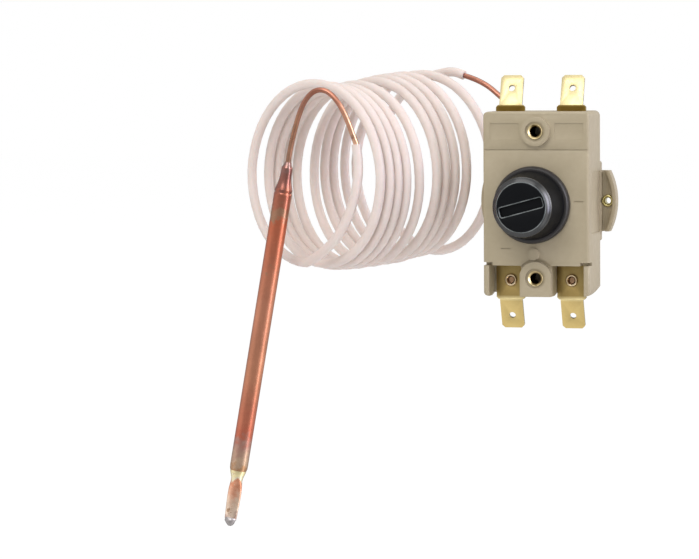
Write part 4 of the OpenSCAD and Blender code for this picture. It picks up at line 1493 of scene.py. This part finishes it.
CRIMP_GOLD = BULB_METAL(
    "crimp_brazed", (1.0, 0.97, 0.94), (0.74, 0.70, 0.66), (0.2, 0.36), tone_scale=260.0, relief_scale=1600.0,
    relief_strength=0.3, relief_depth=0.02 * MM, stain=(0.40, 0.22, 0.12), stain_scale=260.0,
    along=((0.0, (1.0, 0.86, 0.50)), (0.878, (1.0, 0.90, 0.54)), (0.888, (1.0, 0.96, 0.76)),
           (0.9, (0.80, 0.34, 0.20)), (0.93, (0.98, 0.54, 0.38)), (0.955, (1.0, 0.76, 0.60)),
           (0.985, (0.98, 0.80, 0.66)), (1.0, (0.62, 0.44, 0.38))))
SOLDER_GREY = METAL("solder_bead", (0.46, 0.43, 0.42), (0.33, 0.30, 0.30), (0.38, 0.55), tone_scale=420.0,
                    relief_scale=900.0, relief_strength=0.5, relief_depth=0.06 * MM)
SLEEVE_PINK = Finish("pale_sleeve", (0.76, 0.665, 0.615), (0.70, 0.605, 0.555), (0.36, 0.5), tone_scale=60.0,
                     relief_scale=1500.0, relief_strength=0.15, specular=0.3, translucent=0.3)
CARRIER_CREAM = DEEP_GRAIN("carrier_cream", (0.72, 0.68, 0.55), (0.66, 0.62, 0.50), (0.4, 0.55),
                           relief_scale=3000.0)
BAR_COPPER = SHEET("contact_bar_copper", (0.74, 0.42, 0.24), (0.66, 0.36, 0.20), (0.26, 0.4))
SILVER = METAL("contact_silver_tips", (0.82, 0.82, 0.80), (0.74, 0.74, 0.72), (0.2, 0.35), tone_scale=400.0)
PLATED_STEEL = SHEET("plated_steel", (0.60, 0.61, 0.62), (0.52, 0.53, 0.54), (0.28, 0.42), tone_scale=160.0)
SPRING_STEEL = METAL("drawn_spring_wire", (0.62, 0.63, 0.64), (0.55, 0.56, 0.57), (0.22, 0.35), tone_scale=400.0)
CERAMIC = DEEP_GRAIN("white_ceramic", (0.84, 0.83, 0.79), (0.78, 0.77, 0.73), (0.5, 0.65), relief_scale=4000.0)
CUP_METAL = SHEET("pressed_cup_metal", (0.58, 0.57, 0.54), (0.48, 0.47, 0.44), (0.3, 0.46), tone_scale=120.0,
                  stain=(0.38, 0.34, 0.28), stain_threshold=0.64)
BRAZED_BRASS = METAL("brazed_ferrule_brass", (0.72, 0.52, 0.26), (0.56, 0.36, 0.16), (0.28, 0.45),
                     tone_scale=260.0, relief_scale=1600.0, relief_depth=0.02 * MM)


def main() -> None:
    """Builds every sub-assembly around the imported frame."""
    logging.basicConfig(level=logging.INFO, format="%(name)s %(message)s")
    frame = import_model()
    Studio().build()
    tip = Bulb(COPPER_BULB, CRIMP_GOLD, SOLDER_GREY).build()
    Capillary(COPPER_LOOP, SLEEVE_PINK).build(tip)
    Housing(frame, BEIGE, COVER_BEIGE, INSERT_BRASS).build()
    ResetColumn(frame, BLACK_FACE, BLACK_GLOSS, BLACK_SIDE, BLACK_RIM_PAINTED_SHEEN, BLACK_PAINTED_HIGHLIGHT, BUTTON_RED).build()
    Terminals(frame, UPPER_BLADE_BRASS_PAINTED_SHADE, LOWER_BLADE_BRASS_PAINTED_LIGHT, SHEARED_BRASS, RIVET_BRASS, EAR_BRASS).build()
    Springs(frame, SPRING_STEEL).build()
    InnerWorks(frame, CARRIER_CREAM, BAR_COPPER, SILVER, PLATED_STEEL, TURNED_BRASS, CERAMIC, CUP_METAL,
               BRAZED_BRASS).build()


if __name__ == "__main__":
    main()
